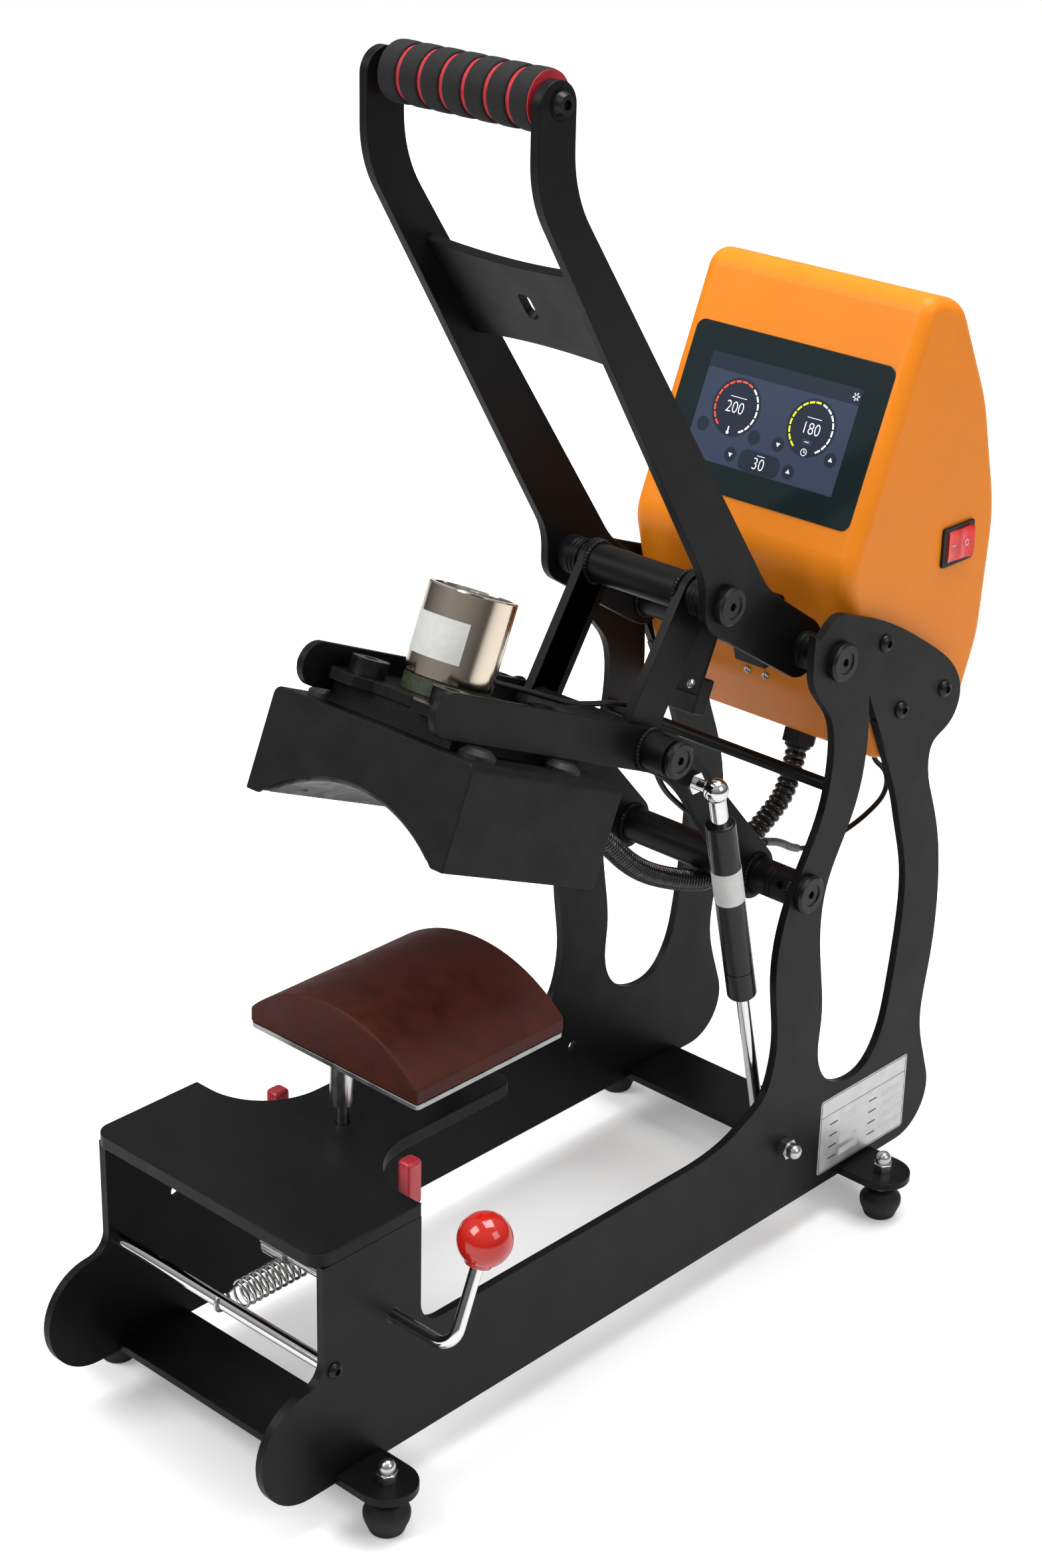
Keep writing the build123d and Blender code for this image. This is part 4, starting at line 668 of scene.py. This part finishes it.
liner_profile = [(first_ring, 9), (first_ring, 14.4), (53.35, 14.4), (53.35, 15.4), (53.9, 15.4), (53.9, 9)]
lining = turned("grip_lining", in_mm(liner_profile), [(0, grip_y, grip_z)], (1, 0, 0), 96, hoop=True)
finish(lining, liner, "handle", stands_for=("grip_liner",))

# Control box: two glossy orange plastic shells that meet in a fine seam, with a faint mould grain. The
# switch's housing, the cable glands and the limit switch are black plastic.
orange = Paint("box_shell", (0.78, 0.222, 0.0095), 0.38, Specular_IOR_Level=0.22)
orange.vary(0.05, 0.03, (0.32, 0.42))
orange.bump(orange.noise(0.0016, 3), 0.00003)
look(orange, "box_front_shell", "box_rear_shell")
plastic = Paint("black_plastic", (0.008, 0.008, 0.0085), 0.4, Specular_IOR_Level=0.25)
plastic.vary(0.01, 0.15, (0.34, 0.48))
plastic.bump(plastic.noise(0.0008, 3), 0.00004)
eased(plastic, 0.6 * mm, "switch_housing", "cable_glands")
eased(plastic, 1.4 * mm, "limit_switch", segments=3)

# Touch screen: a sheet of black glass let into the box front. Under it a lit panel shows two round gauges,
# a timer field and arrow keys, with plain numbers.
glass = Paint("screen", (0.011, 0.019, 0.021), 0.08, Specular_IOR_Level=0.3)
glass.set("Roughness", 0.06 + 0.05 * glass.noise(0.03, 3))
eased(glass, 0.5 * mm, "touch_screen")
screen_centre = np.array([0, 0.20575, 0.50185])
screen_up = np.array([0, 0.3863, 0.9224])
screen_out = np.array([0, -0.9224, 0.3863])
glass_face = 0.62


def lit(name, colour, glow=0.55):
    """A paint for something drawn on the lit panel: it shines in its own colour a little."""
    paint = Paint(name, colour, 0.35, Emission_Strength=glow, Specular_IOR_Level=0.2)
    share = 0.94 + 0.06 * paint.noise(0.004, 2)
    paint.set("Emission Color", paint.mix(share, (0, 0, 0), colour))
    return paint


def on_screen(flat, lift):
    """Points of the screen's plane, in millimetres across and up, lifted off its glass."""
    flat = np.asarray(flat, float)
    across, up = flat[:, :1] * [1, 0, 0], flat[:, 1:2] * screen_up
    return screen_centre + mm * (across + up + (glass_face + lift) * screen_out)


def drawing(name, paint, lift, shapes):
    """One piece from flat shapes on the screen, each a list of corners in millimetres in turning order."""
    points, faces = [], []
    for shape in shapes:
        faces.append(range(len(points), len(points) + len(shape)))
        points += list(shape)
    mesh = bpy.data.meshes.new(name)
    mesh.from_pydata(on_screen(points, lift).tolist(), [], [list(face) for face in faces])
    mesh.update()
    piece = bpy.data.objects.new(name, mesh)
    bpy.context.scene.collection.objects.link(piece)
    return finish(piece, paint, "frame")


def block(x, up, width, height, corner=0.0):
    """A rectangle about its centre, its corners quarter circles of that radius."""
    spots = []
    for first, side, rise in ((0, 1, 1), (90, -1, 1), (180, -1, -1), (270, 1, -1)):
        middle_x, middle_up = x + side * (width / 2 - corner), up + rise * (height / 2 - corner)
        for a in np.radians(np.linspace(first, first + 90, 7 if corner else 1)):
            spots.append((middle_x + corner * cos(a), middle_up + corner * sin(a)))
    return spots


def disc(x, up, radius, sides=40):
    """A round spot about its centre."""
    return [(x + radius * cos(a), up + radius * sin(a)) for a in np.arange(sides) * tau / sides]


def arc(x, up, radius, width, start, end, steps=5):
    """A dash of a ring between two angles in degrees, turning to the left."""
    a = np.radians(np.linspace(start, end, steps))
    outer = [(x + (radius + width / 2) * cos(b), up + (radius + width / 2) * sin(b)) for b in a]
    inner = [(x + (radius - width / 2) * cos(b), up + (radius - width / 2) * sin(b)) for b in a[::-1]]
    return outer + inner


def dashes(x, up, radius, first, count, pitch=17.5, fill=0.78):
    """Dashes that follow one another clockwise from a first angle."""
    return [arc(x, up, radius, 1.15, first - pitch * (i + fill), first - pitch * i) for i in range(count)]


def arrow(x, up, size, way):
    """A small triangle that points up, way 1, or down, way -1."""
    spots = [(x - size, up - way * 0.6 * size), (x + size, up - way * 0.6 * size), (x, up + way * size)]
    return spots if way > 0 else spots[::-1]


def digits(name, text, x, up, height, paint, lift=0.09):
    """Numbers on the screen, centred there. The font's size is 1.45 times its digits' height, its strokes are
    thinned a little and its width is cut to nine tenths."""
    curve = bpy.data.curves.new(name, "FONT")
    curve.body = text
    curve.size = height * 1.45
    curve.offset = -0.021 * height
    curve.align_x = "CENTER"
    curve.align_y = "CENTER"
    holder = bpy.data.objects.new(name + "_outline", curve)
    bpy.context.scene.collection.objects.link(holder)
    mesh = bpy.data.meshes.new_from_object(holder)
    bpy.data.objects.remove(holder)
    spots = np.empty(3 * len(mesh.vertices))
    mesh.vertices.foreach_get("co", spots)
    spots = spots.reshape(-1, 3)[:, :2] * (0.9, 1) + (x, up)
    mesh.vertices.foreach_set("co", on_screen(spots, lift).ravel())
    mesh.update()
    mesh.materials.clear()
    piece = bpy.data.objects.new(name, mesh)
    bpy.context.scene.collection.objects.link(piece)
    return finish(piece, paint, "frame")


panel = lit("panel_blue", (0.028, 0.04, 0.073), 0.25)
shade = lit("panel_dark", (0.012, 0.018, 0.034), 0.15)
bright = lit("panel_white", (0.8, 0.82, 0.85))
warm = lit("panel_red", (0.78, 0.07, 0.035))
yellow = lit("panel_yellow", (0.78, 0.8, 0.02))
drawing("panel", panel, 0.03, [block(0, 0, 112, 64)])
drawing("panel_top_bar", shade, 0.05, [block(0, 27.2, 112, 9.4)])
gauges = ((-27.7, 3.0, 15.5), (28.5, 3.0, 15.2))
key_places = ((-48.1, -11.4), (-8.9, -11.4), (9.2, -11.4), (48.0, -11.9), (-22.1, -24.7), (21.6, -25.1))
drawing(
    "panel_keys", shade, 0.05,
    [disc(x, up, radius + 2.2, 60) for x, up, radius in gauges] + [disc(x, up, 4.4) for x, up in key_places]
    + [block(0, -25.3, 30.5, 13.0, 5.5)],
)
drawing("panel_pill", panel, 0.07, [block(28.3, -5.5, 7.5, 3.2, 1.5)])
drawing("gauge_red", warm, 0.09, dashes(*gauges[0], 232, 10))
drawing("gauge_yellow", yellow, 0.09, dashes(*gauges[1], 236, 9))
drawing(
    "panel_white_marks", bright, 0.09,
    dashes(*gauges[0], 54, 7) + dashes(*gauges[1], 76, 8)
    + [arrow(x, up, 1.5, way) for (x, up), way in zip(key_places[2:], (-1, 1, -1, 1))]
    + [arc(28.3, -11.6, 2.0, 0.4, 0, 360, 25), block(28.3, -10.9, 0.4, 1.6), block(28.9, -11.7, 1.2, 0.4)]
    + [block(-28.9, -10.6, 0.9, 3.4), disc(-28.9, -12.6, 1.0, 16)]
    + [arc(52.5, 27.1, 1.2, 0.35, 0, 360, 21)]
    + [arc(52.5, 27.1, 2.1, 0.7, 60 * k, 60 * k + 24, 3) for k in range(6)]
    + [block(-27.8, 8.9, 12.0, 0.35), block(29.1, 8.8, 10.5, 0.35), block(0, -21.0, 5.5, 0.35)]
    + [block(28.3, -5.5, 3.2, 0.4)],
)
digits("gauge_number_left", "200", -28.6, 2.4, 7.0, bright)
digits("gauge_number_right", "180", 28.6, 2.2, 7.0, bright)
digits("timer_number", "30", -0.4, -26.2, 7.0, bright)

# Power switch: a red lit rocker whose rear half stands proud, in a black bezel in the box's right side. A
# white bar marks on and a white ring off.
switch = Paint(
    "switch_red", (0.62, 0.008, 0.006), 0.16, Emission_Strength=0.12, Coat_Weight=0.5, Coat_Roughness=0.05
)
switch.vary(0.006, 0.2, (0.12, 0.22))
switch.set("Emission Color", switch.mix(switch.noise(0.006, 2), (0.5, 0.0, 0.0), (0.9, 0.02, 0.01)))
key_y, key_z = np.array([273.6, 295.7]) * mm, np.array([419.4, 438.6]) * mm
key_back, key_low = 83.5, 85.9
s, t = np.meshgrid(np.linspace(0, 1, 25), np.linspace(0, 1, 13), indexing="ij")
# The key's face, over s from front to rear and t upwards: it rises to the rear as s^2 with a dip in each
# half, and falls off towards its top and bottom as (2 t - 1)^4.
dips = 0.5 * np.sin(pi * np.clip(2 * s, 0, 1)) + 0.9 * np.sin(tau * s) ** 2 * (s > 0.5)
proud = (key_low + 2.6 * s**2 - dips - 0.45 * (2 * t - 1) ** 4) * mm
face = np.stack([proud, key_y[0] + s * (key_y[1] - key_y[0]), key_z[0] + t * (key_z[1] - key_z[0])], -1)
edge = np.concatenate([face[:, 0], face[-1, 1:], face[-2::-1, -1], face[0, -2:0:-1]])
foot = edge * (0, 1, 1) + (key_back * mm, 0, 0)
skirt = quads(2, len(edge)) + s.size
back = range(s.size + len(edge), s.size + 2 * len(edge))
key_points = np.concatenate([face.reshape(-1, 3), edge, foot])
key_faces = [*quads(*s.shape, column_hoop=False).tolist(), *skirt.tolist(), back]
key = mesh_piece("power_key", key_points, key_faces, crease=50)
finish(key, switch, "power_rocker", stands_for=("power_rocker",))
mark_height = 429 * mm
off_profile, off_place = [(0, 1.5), (0.25, 1.5), (0.25, 2.1), (0, 2.1)], (86.75 * mm, 290.2 * mm, mark_height)
mark_ring = turned("switch_off_mark", in_mm(off_profile), [off_place], (1, 0, 0), 40, hoop=True)
finish(mark_ring, paper, "power_rocker")
on_profile, on_place = [(-2, 0), (-1.8, 0.3), (1.8, 0.3), (2, 0)], (85.6 * mm, 279 * mm, mark_height)
mark_bar = turned("switch_on_mark", in_mm(on_profile), [on_place], (0, 1, 0), 12)
finish(mark_bar, paper, "power_rocker")

# Rating plate: thin brushed aluminium stuck on the right side plate. Its frame, its fields and the bars that
# stand for captions are printed, and the fields are left empty.
silver = Paint("rating_silver", (0.62, 0.62, 0.62), 0.36, Metallic=0.6)
silver.vary(0.01, 0.06, (0.3, 0.42))
silver.bump(silver.noise(0.0005, 2, stretch=(1, 0.06, 1)), 0.00001)


def slab(name, paint, centre, right, up, size, corner=2.0):
    """A plate with round corners that stands on a surface at its centre: size is its width to the right, its
    height and how far it stands out, in millimetres."""
    right, up = np.array(right, float), np.array(up, float)
    outline = np.array(block(0, 0, size[0], size[1], corner))
    flat = np.array(centre) + outline[:, :1] * right + outline[:, 1:] * up
    rows = [mm * (flat + rise * np.cross(right, up)) for rise in (0, size[2])]
    piece = mesh_piece(name, np.concatenate(rows), walls_and_ends(len(outline)))
    return finish(piece, paint, "frame")


def printed(name, paint, y, z, size, corner):
    """A mark on the rating plate, a hair thick."""
    return slab(name, paint, (print_face, y, z), (0, 1, 0), (0, 0, 1), size, corner)


plate_y, plate_z, plate_length, plate_height = 223.8, 61.8, 89, 53
print_face, first_row, row_pitch = 90.3, 43.8, 8.2
plate_size = (plate_length, plate_height, 0.35)
slab("rating_plate", silver, (89.98, plate_y, plate_z), (0, 1, 0), (0, 0, 1), plate_size)
for row in range(4):
    z = first_row + row_pitch * row
    for side, field_y, caption_y, length in ((0, 200.5, 193.5, 19), (1, 243, 234, 24)):
        field = (length, 4.6, 0.08)
        printed(f"rating_field_{row}_{side}", paper, field_y + length / 2, z, field, 0.4)
        printed(f"rating_bar_{row}_{side}", plastic, caption_y, z, (8, 0.9, 0.06), 0.2)
rules = (
    (plate_y, 87.4, 86.6, 0.5), (plate_y, 36.2, 86.6, 0.5), (180.5, plate_z, 0.5, 51.7),
    (267.1, plate_z, 0.5, 51.7), (plate_y, 76, 86.6, 0.4),
)
for y, z, length, height in rules:
    name = f"rating_line_{round(y)}_{round(z)}"
    printed(name, plastic, y, z, (length, height, 0.06), 0.1)

# Sensor bracket: a painted steel strap from the box's front down to the limit switch, beside a black tab. Its
# upper run bends down towards the box, more and more over 40 mm.
box_up = (0, -0.2448, 0.9696)
tab = slab("limit_tab", plastic, (5, 194.1, 363.4), (1, 0, 0), box_up, (24, 17.0, 5), 1.5)
tab_edge = tab.modifiers.new("round_edge", "BEVEL")
tab_edge.width = 0.8 * mm
tab_edge.segments = 3
bend_start, bend_run, strap_low, drop = 135 * mm, 40 * mm, 395 * mm, np.array([0, 2.5, -10.5]) * mm
bracket = eased(textured, 0.5 * mm, "sensor_bracket")
spots = np.empty(3 * len(bracket.data.vertices))
bracket.data.vertices.foreach_get("co", spots)
spots = spots.reshape(-1, 3)
share = np.clip((spots[:, 1] - bend_start) / bend_run, 0, 1) * (spots[:, 2] > strap_low)
spots += share[:, None] * drop
bracket.data.vertices.foreach_set("co", spots.ravel())


# Small fasteners: bright cross-head screws with pan heads. Two show on the box's front, under the black tab,
# and one on the sensor bracket.
def cross_screw(name, centre, out, radius=2.7, height=1.5):
    """A pan head about an outward axis square to X: rise = height * (1 - 0.55 r^4) for r from 0 to 1, with a
    cross sunk 0.8 mm into it where |x| or |y| is under 0.13 and both are under 0.6."""
    out = np.array(out, float)
    out /= np.linalg.norm(out)
    u = np.cross(out, [1, 0, 0])
    v = np.cross(out, u)
    rings, sides = 15, 48
    r, a = np.meshgrid(np.linspace(0, 1, rings), np.arange(sides) * tau / sides, indexing="ij")
    x, y = r * np.cos(a), r * np.sin(a)
    arm = (np.minimum(np.abs(x), np.abs(y)) < 0.13) & (np.maximum(np.abs(x), np.abs(y)) < 0.6)
    rise = height * (1 - 0.55 * r**4) - 0.8 * arm
    rise[-1] = 0
    spots = np.array(centre) + mm * (radius * (x[..., None] * u + y[..., None] * v) + rise[..., None] * out)
    faces = [*quads(rings, sides).tolist(), range((rings - 1) * sides, rings * sides)]
    piece = mesh_piece(name, spots.reshape(-1, 3), faces, crease=30)
    return finish(piece, zinc, "frame")


box_out = (0, -0.9696, -0.2448)
for number, x in ((1, -2.5), (2, 11.5)):
    cross_screw(f"box_front_screw_{number}", (x * mm, 199.3 * mm, 346.6 * mm), box_out)
cross_screw("bracket_screw", (26.9 * mm, 109.5 * mm, 371.5 * mm), (0, -0.9138, 0.4061), 2.9)


# Conduit: black corrugated polyamide tube from the gland under the box down behind the rocker's tube, joined
# there to one with finer ribs that runs up in an easy curve to the back of the heater housing.
def route_line(points, spacing):
    """Points an even spacing apart along the smooth line that a route's points control."""
    curve = bpy.data.curves.new("route", "CURVE")
    curve.dimensions = "3D"
    curve.resolution_u = 24
    spline = curve.splines.new("NURBS")
    spline.points.add(len(points) - 1)
    spline.points.foreach_set("co", np.column_stack([points, np.ones(len(points))]).ravel())
    spline.order_u = 3
    spline.use_endpoint_u = True
    holder = bpy.data.objects.new("route", curve)
    bpy.context.scene.collection.objects.link(holder)
    mesh = bpy.data.meshes.new_from_object(holder)
    line = np.empty(3 * len(mesh.vertices))
    mesh.vertices.foreach_get("co", line)
    line = line.reshape(-1, 3)
    bpy.data.objects.remove(holder)
    bpy.data.curves.remove(curve)
    bpy.data.meshes.remove(mesh)
    gone = np.concatenate([[0], np.cumsum(np.linalg.norm(np.diff(line, axis=0), axis=1))])
    even = np.linspace(0, gone[-1], int(round(gone[-1] / spacing)) + 1)
    return np.stack([np.interp(even, gone, line[:, axis]) for axis in range(3)], 1), even


conduit_route = [
    (0.0140, 0.2321, 0.2900), (0.0140, 0.2277, 0.2746), (0.0135, 0.2220, 0.2605), (0.0120, 0.2125, 0.2510),
    (0.0105, 0.1995, 0.2420), (0.0090, 0.1815, 0.2315), (0.0080, 0.1595, 0.2225), (0.0080, 0.1475, 0.2245),
    (0.0080, 0.1235, 0.2340), (0.0080, 0.0995, 0.2460), (0.0085, 0.0795, 0.2605), (0.0095, 0.0615, 0.2785),
    (0.0100, 0.0405, 0.2955), (0.0100, 0.0175, 0.3074), (0.0100, -0.0009, 0.3153),
]
line, along = route_line(conduit_route, 0.35 * mm)
# The radius is crest - depth * (1 - |cos(half the phase)|^0.6), a round rib for each turn of the phase.
join, join_run, crest = 184 * mm, 6 * mm, 7 * mm
heater_share = np.clip((join - line[:, 1]) / join_run, 0, 1)
pitch = (4.6 - 1.7 * heater_share) * mm
depth = (1.7 - 0.2 * heater_share) * mm
phase = np.concatenate([[0], np.cumsum(np.diff(along) / pitch[1:])]) * tau
conduit = tube("conduit", line, crest - depth * (1 - np.abs(np.cos(phase / 2)) ** 0.6), 24)
nylon = Paint("conduit", (0.007, 0.007, 0.0075), 0.2, Specular_IOR_Level=0.7)
nylon.vary(0.01, 0.15, (0.17, 0.25))
nylon.bump(nylon.noise(0.0008, 2), 0.00002)
conduit.data.materials.append(nylon.material)
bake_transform(conduit, "frame", "rocker", start=(0, 0.1835, 0.23), end=(0, 0.1235, 0.23))
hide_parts("box_conduit", "heater_conduit")

# Magnet lead: thin black cable from the magnet over the link tube, down inside the right rocker plate
# and through a grey sleeve up to its gland under the box.
lead_route = [
    (0.0090, -0.0413, 0.4108), (0.0144, -0.0284, 0.4053), (0.0200, -0.0124, 0.3979), (0.0250, 0.0054, 0.3887),
    (0.0270, 0.0250, 0.3836), (0.0280, 0.0429, 0.3797), (0.0285, 0.0587, 0.3708), (0.0295, 0.0676, 0.3535),
    (0.0320, 0.0714, 0.3344), (0.0370, 0.0762, 0.3177), (0.0420, 0.0880, 0.3045), (0.0430, 0.1031, 0.2915),
    (0.0432, 0.1196, 0.2791), (0.0434, 0.1362, 0.2696), (0.0435, 0.1506, 0.2628), (0.0424, 0.1675, 0.2560),
    (0.0424, 0.1825, 0.2510), (0.0426, 0.1985, 0.2405), (0.0450, 0.2195, 0.2365), (0.0485, 0.2395, 0.2410),
    (0.0515, 0.2575, 0.2475), (0.0543, 0.2735, 0.2580), (0.0540, 0.2735, 0.2735), (0.0500, 0.2626, 0.2838),
    (0.0500, 0.2636, 0.2872),
]
line, along = route_line(lead_route, 1.2 * mm)
lead = tube("magnet_cable", line, 1.7 * mm, 16)
jacket = Paint("lead", (0.009, 0.009, 0.0095), 0.36, Specular_IOR_Level=0.45)
jacket.vary(0.01, 0.15, (0.3, 0.44))
lead.data.materials.append(jacket.material)
sleeve_front, sleeve_rear = 167.5 * mm, 200.5 * mm
covered = line[(line[:, 1] > sleeve_front) & (line[:, 1] < sleeve_rear)]
sleeve = tube("lead_sleeve", covered, 2.6 * mm, 20)
grey = Paint("grey_sleeve", (0.11, 0.11, 0.115), 0.3, Coat_Weight=0.3)
grey.vary(0.004, 0.2, (0.24, 0.4))
sleeve.data.materials.append(grey.material)
for piece, slot in ((lead, "lead"), (sleeve, "grey_sleeve")):
    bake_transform(piece, "rocker", "frame", start=(0, 0.1406, 0.26), end=(0, 0.1846, 0.26))
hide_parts("magnet_lead", "signal_lead")
